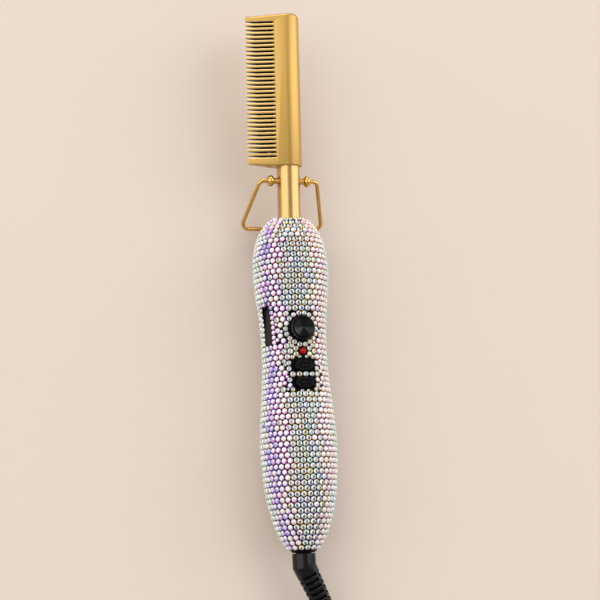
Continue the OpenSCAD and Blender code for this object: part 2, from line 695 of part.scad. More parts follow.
module filter_capacitor() color("orange")
    under_board(0, fuse_d - fuse_len / 2 - capacitor_size[1] / 2 - part_gap, capacitor_size);
module triac() color("black")
    under_board(-1, fuse_d + fuse_len / 2 + triac_size[1] / 2 + part_gap, triac_size);
part_gap = 5.5;
fuse_r = 2.3;
fuse_len = 14;
fuse_d = lower_key_d - 5;
module board_fuse() color("silver") on_front(fuse_d, 4) translate([0, 0, board_low_z - fuse_r])
    rotate([90, 0, 0]) translate([0, 0, -fuse_len / 2]) cylinder(r = fuse_r, h = fuse_len);
brush_out = socket_r + 1.3;
lead_end_x = 2.5;
board_low_d = board_top_d + board_len;
module mains_leads() color("royalblue") for (side = [0, 1]) let (turn = side == 0 ? -1 : 1)
    tube([
        on_handle(turn * lead_hole_x, ring_ds[side] - 1, 0),
        on_handle(turn * lead_hole_x, board_low_d + 10, 0),
        on_handle(turn * (lead_hole_x + lead_end_x) / 2, board_low_d + 4.5, 1.5),
        on_handle(turn * lead_end_x, board_low_d - 0.5, board_low_z - lead_r - 1.5),
        on_handle(turn * lead_end_x, board_low_d - 3.5, board_low_z - lead_r - seat_gap)],
        [0, 1, 0], lead_r, wire_sides);

// ---- Cord swivel ----
brush_w = 2;
// A block across each ring, from a given radius out to the mains lead, with room round it
module brush_blocks(from_r, room) for (i = [0, 1]) in_handle() rotate([0, 0, i * 180])
    translate([-brush_out, -brush_w / 2 - room, ring_ds[i] + (ring_w - brush_w) / 2 - room])
        cube([brush_out - from_r, brush_w + 2 * room, brush_w + 2 * room]);
module swivel_socket() color("dimgray") difference() {
    in_handle() translate([0, 0, socket_top_d]) difference() {
        cylinder(r = socket_r, h = handle_len - socket_top_d);
        translate([0, 0, socket_cap])
            cylinder(r = socket_r - socket_wall, h = handle_len - socket_top_d - socket_cap - lip_len);
        cylinder(r = rotor_r + run_gap, h = handle_len);
    }
    brush_blocks(ring_r - move_gap, seat_gap);
}
module swivel_rotor() color("black") in_handle() {
    translate([0, 0, rotor_top_d]) cylinder(r = rotor_r, h = rotor_end_d - rotor_top_d);
    translate([0, 0, rotor_top_d]) cylinder(r = socket_r - socket_wall - move_gap, h = rotor_flange);
}
module slip_rings() color("goldenrod") in_handle() for (d = ring_ds) translate([0, 0, d])
    ring(ring_r, rotor_r + seat_gap, ring_w);
module contact_brushes() color("peru") brush_blocks(ring_r + move_gap, 0);
module tail_collar() color("black") in_handle() translate([0, 0, handle_len]) difference() {
    cylinder(r1 = collar_r, r2 = collar_r - 2.2, h = collar_len);
    translate([0, 0, -over]) cylinder(r = rotor_r + move_gap, h = collar_len + 2 * over);
}
rib_from = 6;
rib_end = 3;
rib_depth = 0.9;
rib_gap_share = 0.42;
boot_tip_r = cord_r + 1.4;
function boot_taper(u) = boot_r + (boot_tip_r - boot_r) * u;
boot_profile = let (pitch = (boot_len - rib_from - rib_end) / rib_count) concat(
    [[0, 0], [boot_r, 0]],
    [for (i = [0:rib_count - 1], k = [0:3]) let (
        z = rib_from + pitch * (i + (k > 1 ? rib_gap_share : 0)),
        r = boot_taper(i / rib_count))
        [r - (k == 1 || k == 2 ? rib_depth : 0), z]],
    [[boot_tip_r, boot_len - rib_end], [boot_tip_r - 0.4, boot_len], [0, boot_len]]);
// The bent part starts at the knee, with Z down the boot
module at_knee() in_handle() translate([0, 0, knee_d]) rotate([0, 0, -boot_turn]) rotate([0, boot_bend, 0])
    children();
knee = on_handle(0, knee_d, 0);
boot_dir = [sin(boot_bend) * cos(boot_turn), -cos(boot_bend), -sin(boot_bend) * sin(boot_turn)];
boot_tip = knee + boot_len * boot_dir;
module cord_boot() color("black") difference() {
    union() {
        in_handle() translate([0, 0, boot_top_d]) cylinder(r = boot_r, h = knee_d - boot_top_d);
        translate(knee) sphere(r = boot_r + 0.05);
        at_knee() rotate_extrude() polygon(boot_profile);
    }
    in_handle() translate([0, 0, boot_top_d - over])
        cylinder(r = rotor_r + seat_gap, h = rotor_end_d - boot_top_d + over);
}

// ---- Cord: from the boot to the floor, a hank of long loops, and on top of it to the plug ----
cord_sides = 10;
lead_points = [
    [25.6, -199.7, 10.8], [29.5, -209, 8.2], [32.3, -218.7, 5.6], [33.7, -228.8, 4], [34, -240, 3.5]];
hank_x = 9.4;
hank_ys = [-300, -240];
hank_out_r = 27.8;
hank_in_r = 15;
hank_low = 0.5;
hank_h = 24.9;
tail_route = [
    [-15.2, -240, 28.7], [-12.5, -230, 28.9], [-5.2, -222.7, 29.5], [4.8, -220, 30.4], [14.8, -222.7, 31.4],
    [22.1, -230, 32.4], [24.8, -240, 33], [24.8, -250, 33.2]];
module cord_lead() color("black") tube(concat([boot_tip], lead_points), boot_dir, cord_r, cord_sides);
module hank_outline(r) {
    for (y = hank_ys) translate([hank_x, y]) circle(r = r);
    translate([hank_x - r, hank_ys[0]]) square([2 * r, hank_ys[1] - hank_ys[0]]);
}
module cord_hank() color("black") translate([0, 0, hank_low]) linear_extrude(hank_h) difference() {
    hank_outline(hank_out_r);
    hank_outline(hank_in_r);
}
module cord_tail() color("black") tube(tail_route, [0, 1, 0], cord_r, cord_sides);
tie_t = 0.5;
tie_w = 8;
tie_y = -292;
tie_room = 0.2;
module cord_tie() color("dimgray") translate([hank_x, tie_y, 0]) difference() {
    translate([-hank_out_r - tie_room - tie_t, -tie_w / 2, 0])
        cube([2 * (hank_out_r + tie_room + tie_t), tie_w, hank_low + hank_h + tie_room + tie_t]);
    translate([-hank_out_r - tie_room, -tie_w, tie_t])
        cube([2 * (hank_out_r + tie_room), 2 * tie_w, hank_low + hank_h + tie_room - tie_t]);
}

// ---- Plug: it lies on the hank with its pins pointing to -Y ----
plug_at = tail_route[len(tail_route) - 1];
relief_len = 14;
plug_len = 36;
plug_w = 35;
plug_neck_w = 13;
plug_t = 13.6;
pin_in = 8;
pin_root_r = pin_r - 0.4;
module in_plug() translate(plug_at) rotate([0, 0, -90]) children();
module plug_body() color("black") in_plug() difference() {
    union() {
        rotate([0, 90, 0]) cylinder(r1 = cord_r + 0.8, r2 = cord_r + 2.4, h = relief_len + over);
        translate([relief_len, 0, -plug_t / 2]) linear_extrude(plug_t) polygon([
            [0, -plug_neck_w / 2], [plug_len * 0.55, -plug_w / 2], [plug_len, -plug_w / 2],
            [plug_len, plug_w / 2], [plug_len * 0.55, plug_w / 2], [0, plug_neck_w / 2]]);
    }
    for (side = [-1, 1]) translate([relief_len + plug_len - pin_in, side * pin_gap / 2, 0])
        rotate([0, 90, 0]) cylinder(r = pin_root_r + seat_gap, h = pin_in + over);
}
module plug_pins() color("silver") in_plug() for (side = [-1, 1])
    translate([relief_len + plug_len, side * pin_gap / 2, 0]) rotate([0, 90, 0]) {
        translate([0, 0, -pin_in]) cylinder(r = pin_root_r, h = pin_in + over);
        cylinder(r = pin_r, h = pin_len - pin_r);
        translate([0, 0, pin_len - pin_r]) sphere(r = pin_r);
    }

comb_head();
heater_cartridge();
heater_leads();
thermistor();
comb_screw();
neck_tube();
tube_pin();
neck_bush();
hinge_bushes();
wire_stand();
stand_beads();
front_shell();
rear_shell();
front_stones();
rear_stones();
shell_screws();
circuit_board();
board_screws();
switch_bodies();
power_plunger();
upper_plunger();
lower_plunger();
power_button();
power_bezel();
upper_key();
lower_key();
key_frames();
power_light();
light_lens();
display_window();
display_module();
control_chip();
triac();
filter_capacitor();
board_fuse();
mains_leads();
swivel_socket();
swivel_rotor();
slip_rings();
contact_brushes();
tail_collar();
cord_boot();
cord_lead();
cord_hank();
cord_tail();
cord_tie();
plug_body();
plug_pins();
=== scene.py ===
import bpy
import bmesh
import json
import math
import random
from mathutils import Matrix, Vector
from mathutils.kdtree import KDTree
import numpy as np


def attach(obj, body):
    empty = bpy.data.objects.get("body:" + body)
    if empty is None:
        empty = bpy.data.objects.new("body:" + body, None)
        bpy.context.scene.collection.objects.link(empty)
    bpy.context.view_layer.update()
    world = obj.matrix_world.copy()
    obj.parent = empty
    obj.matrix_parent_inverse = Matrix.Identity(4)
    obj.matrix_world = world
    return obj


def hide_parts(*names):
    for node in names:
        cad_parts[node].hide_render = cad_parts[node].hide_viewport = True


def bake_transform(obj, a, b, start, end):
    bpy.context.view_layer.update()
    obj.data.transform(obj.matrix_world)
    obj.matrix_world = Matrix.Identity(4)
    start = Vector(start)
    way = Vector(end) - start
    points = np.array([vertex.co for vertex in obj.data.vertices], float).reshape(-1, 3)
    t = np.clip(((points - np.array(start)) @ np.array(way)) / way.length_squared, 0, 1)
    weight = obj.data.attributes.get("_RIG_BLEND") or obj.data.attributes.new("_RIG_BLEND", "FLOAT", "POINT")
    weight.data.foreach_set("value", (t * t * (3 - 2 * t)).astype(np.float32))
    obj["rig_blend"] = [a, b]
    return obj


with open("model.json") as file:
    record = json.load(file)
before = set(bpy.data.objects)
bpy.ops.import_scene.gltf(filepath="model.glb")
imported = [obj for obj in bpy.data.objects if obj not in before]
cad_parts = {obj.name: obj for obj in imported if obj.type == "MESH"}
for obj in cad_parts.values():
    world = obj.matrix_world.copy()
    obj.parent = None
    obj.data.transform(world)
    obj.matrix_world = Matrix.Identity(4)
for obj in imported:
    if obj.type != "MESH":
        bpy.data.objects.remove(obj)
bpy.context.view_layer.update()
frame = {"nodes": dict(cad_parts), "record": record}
mm = 0.001

# The comb's own sizes in millimetres, shared by several pieces
comb = dict(domeY=37.4572, axisZ=20.3, lean=5.0, leanAt=38.0, bellyR=20.3, waistR=17.4, upperBellyD=31.0,
            waistD=77.0, lowerBellyD=124.0, domeLong=31.6, domePower=2.25, tailLong=58.0, tailPower=2.1,
            upperWaistPower=3, lowerWaistPower=2, stoneH=1.3, headLow=64.0, headHigh=147.0, boreR=6.5,
            windowD=61.4, windowAngle=69.0, powerD=64.0, lightD=76.0, upperKeyD=83.6, lowerKeyD=92.5,
            bootTopD=179.5, kneeD=186.0, flangeZ=11.5)


def onHandle(x, d, z):  # d runs down the handle from its top, z to the front
    return Vector((x, comb["domeY"] - d, comb["axisZ"] + z)) * mm


def onNeck(x, s, n):  # s runs up the neck, n to the back
    a = math.radians(comb["lean"])
    return Vector((x, comb["domeY"] - comb["leanAt"] + s * math.cos(a) + n * math.sin(a),
                   comb["axisZ"] + s * math.sin(a) - n * math.cos(a))) * mm


def neckPlace(p):  # the opposite of onNeck, in millimetres
    a = math.radians(comb["lean"])
    y = p.y / mm - comb["domeY"] + comb["leanAt"]
    z = p.z / mm - comb["axisZ"]
    return p.x / mm, y * math.cos(a) + z * math.sin(a), y * math.sin(a) - z * math.cos(a)


def linear(rgb):
    return tuple((c / 255 / 12.92) if c / 255 <= 0.04045 else ((c / 255 + 0.055) / 1.055) ** 2.4 for c in rgb)


# Camera: over the front, a little to the left and towards the cord
lookout = dict(turn=16.5, rise=10.0, roll=-2.7936, place=(-216.32, -145.773, 766.26), lens=88.62)
turn, rise, roll = (math.radians(lookout[k]) for k in ("turn", "rise", "roll"))
back = Vector((-math.sin(turn) * math.cos(rise), -math.sin(rise), math.cos(turn) * math.cos(rise)))
levelRight = Vector((0, 1, 0)).cross(back).normalized()
levelUp = back.cross(levelRight)
cameraRight = levelRight * math.cos(roll) + levelUp * math.sin(roll)
cameraUp = levelUp * math.cos(roll) - levelRight * math.sin(roll)
cameraData = bpy.data.cameras.new("camera")
cameraData.sensor_width = 36
cameraData.lens = lookout["lens"]
cameraData.clip_start = 0.01
camera = bpy.data.objects.new("camera", cameraData)
camera.matrix_world = (Matrix.Translation(Vector(lookout["place"]) * mm)
                       @ Matrix((cameraRight, cameraUp, back)).transposed().to_4x4())
bpy.context.scene.collection.objects.link(camera)
bpy.context.scene.camera = camera
print("camera ready")


# Finishes: vary, roughVary and bump are how uneven the colour, the gloss and the surface are
finishGrain = dict(detail=5, bumpDetail=3, bumpDepth=0.0002, darkFrom=0.3, lightFrom=0.7)


def newFinish(name, color, roughness=0.4, metallic=0.0, coat=0.0, coatRough=0.08, coatIor=1.5, shine=0.5,
              bump=0.0, bumpScale=400.0, vary=0.0, varyScale=60.0, stretch=(1, 1, 1), roughVary=0.0):
    m = bpy.data.materials.new(name)
    m.use_nodes = True
    nodes, links = m.node_tree.nodes, m.node_tree.links
    shader = nodes["Principled BSDF"]
    shader.inputs["Base Color"].default_value = (*color, 1)
    shader.inputs["Roughness"].default_value = roughness
    shader.inputs["Metallic"].default_value = metallic
    shader.inputs["Coat Weight"].default_value = coat
    shader.inputs["Coat Roughness"].default_value = coatRough
    shader.inputs["Coat IOR"].default_value = coatIor
    shader.inputs["Specular IOR Level"].default_value = shine
    coords = nodes.new("ShaderNodeTexCoord")
    mapping = nodes.new("ShaderNodeMapping")
    mapping.inputs["Scale"].default_value = stretch
    links.new(coords.outputs["Object"], mapping.inputs["Vector"])
    if vary or roughVary:
        noise = nodes.new("ShaderNodeTexNoise")
        noise.inputs["Scale"].default_value = varyScale
        noise.inputs["Detail"].default_value = finishGrain["detail"]
        links.new(mapping.outputs["Vector"], noise.inputs["Vector"])
    if vary:
        ramp = nodes.new("ShaderNodeValToRGB")
        ramp.color_ramp.elements[0].color = (*[c * (1 - vary) for c in color], 1)
        ramp.color_ramp.elements[1].color = (*[min(1, c * (1 + vary)) for c in color], 1)
        ramp.color_ramp.elements[0].position = finishGrain["darkFrom"]
        ramp.color_ramp.elements[1].position = finishGrain["lightFrom"]
        links.new(noise.outputs["Fac"], ramp.inputs["Fac"])
        links.new(ramp.outputs["Color"], shader.inputs["Base Color"])
    if roughVary:
        spread = nodes.new("ShaderNodeMapRange")
        spread.inputs["To Min"].default_value = max(0, roughness - roughVary)
        spread.inputs["To Max"].default_value = roughness + roughVary
        links.new(noise.outputs["Fac"], spread.inputs["Value"])
        links.new(spread.outputs["Result"], shader.inputs["Roughness"])
    if bump:
        grain = nodes.new("ShaderNodeTexNoise")
        grain.inputs["Scale"].default_value = bumpScale
        grain.inputs["Detail"].default_value = finishGrain["bumpDetail"]
        links.new(mapping.outputs["Vector"], grain.inputs["Vector"])
        bumpNode = nodes.new("ShaderNodeBump")
        bumpNode.inputs["Strength"].default_value = bump
        bumpNode.inputs["Distance"].default_value = finishGrain["bumpDepth"]
        links.new(grain.outputs["Fac"], bumpNode.inputs["Height"])
        links.new(bumpNode.outputs["Normal"], shader.inputs["Normal"])
    return m


# Golds: the brushed head, the smoother tube, the bright wire, a pale gold on the teeth's edges as a painted
# highlight, and a dark one on the slots' sides as painted shade
goldSatin = newFinish("goldSatin", linear((197, 155, 66)), 0.43, 1.0, coat=0.5, coatRough=0.34, coatIor=1.9,
                      bump=0.1, bumpScale=900, stretch=(1, 0.06, 1), vary=0.04, varyScale=90, roughVary=0.05)
goldTube = newFinish("goldTube", linear((197, 152, 66)), 0.29, 1.0, coat=0.75, coatRough=0.24, coatIor=2.1,
                     bump=0.06, bumpScale=900, stretch=(1, 0.08, 1), vary=0.04, roughVary=0.04)
goldPolished = newFinish("goldPolished", linear((222, 170, 70)), 0.18, 1.0, coat=0.5, coatRough=0.12,
                         coatIor=2.0, bump=0.03, bumpScale=500, vary=0.05, roughVary=0.04)
goldEdgeHighlight = newFinish("goldEdgeHighlight", linear((250, 212, 128)), 0.34, 1.0, coat=0.8, coatRough=0.3, coatIor=2.0,
                     bump=0.04)
goldSlotShade = newFinish("goldSlotShade", linear((70, 44, 14)), 0.6, 0.8, bump=0.05, vary=0.1)

# Blacks, from the bezel and the spun button to the cord
glossBlack = newFinish("glossBlack", linear((6, 6, 7)), 0.28, coat=0.1, shine=0.25, bump=0.05, bumpScale=700,
                       vary=0.2, roughVary=0.06)
spunBlack = newFinish("spunBlack", linear((34, 34, 36)), 0.4, 0.9, bump=0.03, bumpScale=900, roughVary=0.04)
windowBlack = newFinish("windowBlack", linear((20, 19, 20)), 0.35, coat=0.1, shine=0.2, bump=0.25,
                        bumpScale=260, vary=0.5, varyScale=520, roughVary=0.08)
matBlack = newFinish("matBlack", linear((10, 10, 11)), 0.5, shine=0.25, bump=0.15, bumpScale=1200, vary=0.2,
                     roughVary=0.06)
# The shells' black, also used as painted shade in the boot's slots and the keys' grooves
shellAndShadeBlack = newFinish("shellAndShadeBlack", linear((2, 2, 3)), 0.5, shine=0.08, bump=0.1, bumpScale=500, vary=0.3,
                       roughVary=0.08)
rubberBlack = newFinish("rubberBlack", linear((2, 2, 3)), 0.22, shine=0.28, bump=0.12, bumpScale=1500,
                        vary=0.18, roughVary=0.07)
keyBlack = newFinish("keyBlack", linear((2, 2, 3)), 0.26, shine=0.13, bump=0.04, bumpScale=700, vary=0.2,
                     roughVary=0.05)
strapBlack = newFinish("strapBlack", linear((30, 30, 33)), 0.8, bump=0.6, bumpScale=2600, vary=0.3,
                       varyScale=900)

# The pieces inside, the light and the stones
steel = newFinish("steel", linear((185, 186, 190)), 0.3, 1.0, bump=0.06, bumpScale=900, roughVary=0.06)
copper = newFinish("copper", linear((200, 130, 84)), 0.32, 1.0, bump=0.05, roughVary=0.06)
boardGreen = newFinish("boardGreen", linear((22, 92, 48)), 0.35, coat=0.3, vary=0.25, varyScale=300)
whitePlastic = newFinish("whitePlastic", linear((228, 226, 218)), 0.45, vary=0.05)
leadRed = newFinish("leadRed", linear((150, 30, 24)), 0.45, vary=0.1)
lensRed = newFinish("lensRed", linear((168, 1, 1)), 0.2, coat=0.12, shine=0.15, vary=0.45, varyScale=700)
stoneGlass = newFinish("stoneGlass", (0.8, 0.8, 0.8), 0.11)

# Painted reflection: the spun button's fan of light and dark wedges, as a share of a turn and a grey, painted
# into its colour
spunReflectionFan = ((0, 38), (0.07, 60), (0.15, 44), (0.175, 15), (0.325, 14), (0.35, 44), (0.43, 62), (0.49, 48),
           (0.515, 24), (0.65, 30), (0.68, 16), (0.75, 19), (0.82, 14), (0.85, 32), (0.98, 24), (1, 38))
spunNodes, spunLinks = spunBlack.node_tree.nodes, spunBlack.node_tree.links
spunUv = spunNodes.new("ShaderNodeUVMap")
spunUv.uv_map = "spun"
spunSplit = spunNodes.new("ShaderNodeSeparateXYZ")
spunReflectionRamp = spunNodes.new("ShaderNodeValToRGB")
for place, grey in spunReflectionFan[1:-1]:
    spunReflectionRamp.color_ramp.elements.new(place)
for element, (place, grey) in zip(spunReflectionRamp.color_ramp.elements, spunReflectionFan):
    element.position = place
    element.color = (*linear((grey, grey, grey + 1)), 1)
spunLinks.new(spunUv.outputs["UV"], spunSplit.inputs["Vector"])
spunLinks.new(spunSplit.outputs["Y"], spunReflectionRamp.inputs["Fac"])
spunLinks.new(spunReflectionRamp.outputs["Color"], spunNodes["Principled BSDF"].inputs["Base Color"])

# Each facet of a stone has its own colour, in the mesh
stoneIor = 2.4
stonePaint = stoneGlass.node_tree.nodes.new("ShaderNodeVertexColor")
stonePaint.layer_name = "stoneColor"
stoneShader = stoneGlass.node_tree.nodes["Principled BSDF"]
stoneGlass.node_tree.links.new(stonePaint.outputs["Color"], stoneShader.inputs["Base Color"])
stoneShader.inputs["IOR"].default_value = stoneIor

finishOf = {
    "gold_head": goldSatin, "gold_tube": goldTube, "gold_wire": goldPolished, "steel": steel, "copper": copper,
    "shell": glossBlack, "stone": stoneGlass, "key": glossBlack, "lens": lensRed, "window": windowBlack,
    "insulator": matBlack, "white_part": whitePlastic, "board": boardGreen, "lead": leadRed,
    "cord": rubberBlack}
finishOfNode = {"front_shell": shellAndShadeBlack, "rear_shell": shellAndShadeBlack, "tail_collar": shellAndShadeBlack,
                "key_frames": shellAndShadeBlack, "hinge_bushes": goldPolished}
slotOf = {p["node"]: p["material_slot"] for p in frame["record"]["subparts"]}
for node, o in frame["nodes"].items():
    o.data.materials.clear()
    o.data.materials.append(finishOfNode.get(node, finishOf[slotOf[node]]))
print("finishes ready")


# Modelling helpers
samePlace = 0.001 * mm  # points this close are one
collapsed = 0.002 * mm  # the same, after a bevel


def deselectAll():
    bpy.ops.object.select_all(action="DESELECT")


def onlySelected(o):
    deselectAll()
    o.select_set(True)
    bpy.context.view_layer.objects.active = o


def edit(o):  # into edit mode with nothing selected
    onlySelected(o)
    bpy.ops.object.mode_set(mode="EDIT")
    bpy.ops.mesh.select_all(action="DESELECT")


def pick(o, kind, test):  # selects the edges or faces that pass a test, and nothing else
    bpy.ops.mesh.select_all(action="DESELECT")
    bpy.ops.mesh.select_mode(type=kind)
    bm = bmesh.from_edit_mesh(o.data)
    for item in bm.edges if kind == "EDGE" else bm.faces:
        item.select_set(test(item))
    bm.select_flush_mode()
    bmesh.update_edit_mesh(o.data)


def done(o, angle=30):  # closes the seams, turns the faces outwards and leaves edit mode
    bpy.ops.mesh.select_all(action="SELECT")
    bpy.ops.mesh.remove_doubles(threshold=samePlace)
    bpy.ops.mesh.normals_make_consistent(inside=False)
    bpy.ops.object.mode_set(mode="OBJECT")
    bpy.ops.object.shade_smooth_by_angle(angle=math.radians(angle))


def finishPiece(o, name, material, body, slot, *nodes):  # its name, finish, body and the nodes it stands for
    o.name = name
    o.data.name = name
    o.data.materials.clear()
    o.data.materials.append(material)
    if body:
        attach(o, body)
    if nodes:
        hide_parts(*nodes)


def putAt(o, matrix):  # moves the mesh to its place and leaves the object at the origin
    onlySelected(o)
    o.matrix_world = matrix
    bpy.ops.object.transform_apply(location=True, rotation=True, scale=True)


def roundEdges(o, width, segments, angle):
    onlySelected(o)
    m = o.modifiers.new("edges", "BEVEL")
    m.width = width * mm
    m.segments = segments
    m.limit_method = "ANGLE"
    m.angle_limit = math.radians(angle)
    bpy.ops.object.modifier_apply(modifier="edges")
    bpy.ops.object.mode_set(mode="EDIT")
    bpy.ops.mesh.select_all(action="SELECT")
    bpy.ops.mesh.remove_doubles(threshold=collapsed)
    bpy.ops.object.mode_set(mode="OBJECT")


def joined(objects):
    deselectAll()
    for o in objects:
        o.select_set(True)
    bpy.context.view_layer.objects.active = objects[0]
    bpy.ops.object.join()
    return objects[0]


def extrudeUp(height):
    bpy.ops.mesh.extrude_region_move(TRANSFORM_OT_translate={"value": (0, 0, height * mm)})


def sink(depth):  # each selected patch, straight in along its own faces
    bpy.ops.mesh.extrude_region_shrink_fatten(TRANSFORM_OT_shrink_fatten={"value": -depth * mm})


def inset(thickness):
    bpy.ops.mesh.inset(thickness=thickness * mm)


def standing(place):  # turns a piece made along Z to point down the handle, at a place in millimetres
    return Matrix.Translation(Vector(place) * mm) @ Matrix.Rotation(math.radians(90), 4, "X")


def newObject(name, mesh):
    o = bpy.data.objects.new(name, mesh)
    bpy.context.scene.collection.objects.link(o)
    return o


def turned(sections, sides, ring=False):  # a round piece about Z, by extruding and scaling from ring to ring
    deselectAll()
    r, z = sections[0]
    fill = "NOTHING" if ring else "NGON"
    bpy.ops.mesh.primitive_circle_add(vertices=sides, radius=r * mm, fill_type=fill, location=(0, 0, z * mm))
    bpy.ops.object.transform_apply(location=True)
    o = bpy.context.object
    bpy.ops.object.mode_set(mode="EDIT")
    bpy.ops.mesh.select_mode(type="EDGE" if ring else "FACE")
    bpy.ops.mesh.select_all(action="SELECT")
    for (r0, z0), (r1, z1) in zip(sections, sections[1:]):
        extrudeUp(z1 - z0)
        if r1 != r0:
            bpy.ops.transform.resize(value=(r1 / r0, r1 / r0, 1), center_override=(0, 0, z1 * mm))
    return o


def roundedBlock(w, h, t, corner, segments=6):  # a block standing on Z = 0, with round upright edges
    deselectAll()
    bpy.ops.mesh.primitive_cube_add(size=mm)
    o = bpy.context.object
    o.scale = (w, h, t)
    o.location = (0, 0, t / 2 * mm)
    bpy.ops.object.transform_apply(location=True, scale=True)
    edit(o)
    pick(o, "EDGE", lambda e: abs(e.verts[0].co.z - e.verts[1].co.z) > 0.5 * t * mm)
    bpy.ops.mesh.bevel(offset=corner * mm, segments=segments, affect="EDGES")
    return o


def topFace(o):  # selects the highest face that looks up
    bm = bmesh.from_edit_mesh(o.data)
    high = max(f.calc_center_median().z for f in bm.faces if f.normal.z > 0.9)
    pick(o, "FACE", lambda f: f.normal.z > 0.9 and f.calc_center_median().z > high - samePlace)


def spline(points, per):  # a smooth curve through points
    out = []
    p = [points[0] * 2 - points[1], *points, points[-1] * 2 - points[-2]]
    for i in range(1, len(p) - 2):
        a, b, c, d = p[i - 1:i + 3]
        for k in range(per):
            t = k / per
            squared, cubed = a * 2 - b * 5 + c * 4 - d, b * 3 - a - c * 3 + d
            out.append(0.5 * (b * 2 + (c - a) * t + squared * t ** 2 + cubed * t ** 3))
    out.append(points[-1])
    return out


def tube(name, path, r, sides, firstDir):  # a round tube along a path, closed at both ends
    verts, faces = [], []
    side = Vector(firstDir).cross(Vector((0, 0, 1)))
    for i, p in enumerate(path):
        t = firstDir if i == 0 else (path[min(i + 1, len(path) - 1)] - path[i - 1]).normalized()
        side = (side - t * side.dot(t)).normalized()
        high = side.cross(t)
        for k in range(sides):
            a = 2 * math.pi * k / sides
            verts.append(p + (side * math.cos(a) + high * math.sin(a)) * r)
    for i in range(len(path) - 1):
        for k in range(sides):
            m = (k + 1) % sides
            faces.append((i * sides + m, (i + 1) * sides + m, (i + 1) * sides + k, i * sides + k))
    faces.append(tuple(range(sides)))
    faces.append(tuple((len(path) - 1) * sides + k for k in reversed(range(sides))))
    mesh = bpy.data.meshes.new(name)
    mesh.from_pydata(verts, [], faces)
    mesh.polygons.foreach_set("use_smooth", [True] * len(mesh.polygons))
    return newObject(name, mesh)


# Boot: a shoulder, a sharp bend, and a taper with slots that let it flex
boot = dict(r=6.15, tipR=4.4, length=48.0, bend=28.0, turn=20.0, crease=1.8, smooth=4.2, slot=1.38, web=0.26,
            slots=12, depth=1.6, frontSlot=-7.0, slotHalf=39.0, sides=36, shadeDeep=0.3, edge=0.25,
            edgeSteps=3, smoothAngle=14, shoulder=((1.85, 0), (0.45, 0), (0.15, 0.25), (0, 0.8), (0, 2.4)),
            tip=((0, -1.2), (0.35, -0.3), (0.9, 0)))  # shoulder and tip: how far in, and how far along
bendAngle, bendTurn = math.radians(boot["bend"]), math.radians(boot["turn"])
bootDir = Vector((math.sin(bendAngle) * math.cos(bendTurn), -math.cos(bendAngle),
                  -math.sin(bendAngle) * math.sin(bendTurn)))
bootTip = onHandle(0, comb["kneeD"], 0) + bootDir * boot["length"] * mm
kneeAt = comb["kneeD"] - comb["bootTopD"]


def bootR(z):
    return boot["r"] + (boot["tipR"] - boot["r"]) * max(0, z - kneeAt) / boot["length"]


def bent(p):  # a place on the straight boot, moved to its place on the bent one
    lateral = Vector((math.cos(bendTurn), -math.sin(bendTurn), 0))
    z = p.z / mm - kneeAt
    share = 0 if z < -boot["crease"] / 2 else 1 if z > boot["crease"] / 2 else 0.5
    a = bendAngle * share
    ahead = Vector((0, 0, math.cos(a))) + lateral * math.sin(a)
    sideways = (lateral * math.cos(a) - Vector((0, 0, math.sin(a)))) / (math.cos(a) if share == 0.5 else 1)
    across = p.x * lateral.x + p.y * lateral.y
    other = Vector((p.x, p.y, 0)) - lateral * across
    return (Vector((0, 0, kneeAt + min(z, 0))) + ahead * max(0, z)) * mm + sideways * across + other


def slotRow(f, number):  # front and back slots in even rows, side slots in odd ones
    c = f.calc_center_median()
    z = c.z / mm
    pitch = boot["slot"] + boot["web"]
    row = (z - kneeAt - boot["smooth"]) / pitch
    inRows = 0 <= row <= 2 * boot["slots"] and int(row) % 2 == number and row % 1 <= boot["slot"] / pitch
    if not inRows or abs(f.normal.z) > 0.5:
        return False
    azimuth = math.degrees(math.atan2(c.x, c.y)) - boot["frontSlot"] - 90 * number
    return abs((azimuth + 90) % 180 - 90) < boot["slotHalf"]


bootSections = [(boot["r"] - inwards, z) for inwards, z in boot["shoulder"]]
bootSections += [(bootR(kneeAt + z), kneeAt + z) for z in (-boot["crease"], 0, boot["crease"])]
edgeZ = kneeAt + boot["smooth"]
for i in range(2 * boot["slots"]):
    bootSections += [(bootR(edgeZ), edgeZ), (bootR(edgeZ + boot["slot"]), edgeZ + boot["slot"])]
    edgeZ += boot["slot"] + boot["web"]
bootEnd = kneeAt + boot["length"]
bootSections += [(bootR(edgeZ), edgeZ), *((boot["tipR"] - inwards, bootEnd + z) for inwards, z in boot["tip"])]
cordBoot = turned(bootSections, boot["sides"])
for number in (0, 1):
    pick(cordBoot, "FACE", lambda f: slotRow(f, number))
    sink(boot["depth"])
done(cordBoot, 40)
roundEdges(cordBoot, boot["edge"], boot["edgeSteps"], 50)
slotShadeFaces = [f.index for f in cordBoot.data.polygons
           if math.hypot(f.center.x, f.center.y) < (bootR(f.center.z / mm) - boot["shadeDeep"]) * mm
           and kneeAt + boot["smooth"] < f.center.z / mm < edgeZ]
for v in cordBoot.data.vertices:
    v.co = bent(v.co)
bpy.ops.object.shade_smooth_by_angle(angle=math.radians(boot["smoothAngle"]))
putAt(cordBoot, standing(onHandle(0, comb["bootTopD"], 0) / mm))
finishPiece(cordBoot, "flexBoot", rubberBlack, "swivel", "cord", "cord_boot")
cordBoot.data.materials.append(shellAndShadeBlack)  # painted shade: the slots' walls get the duller black
for i in slotShadeFaces:
    cordBoot.data.polygons[i].material_index = 1
print("boot ready")

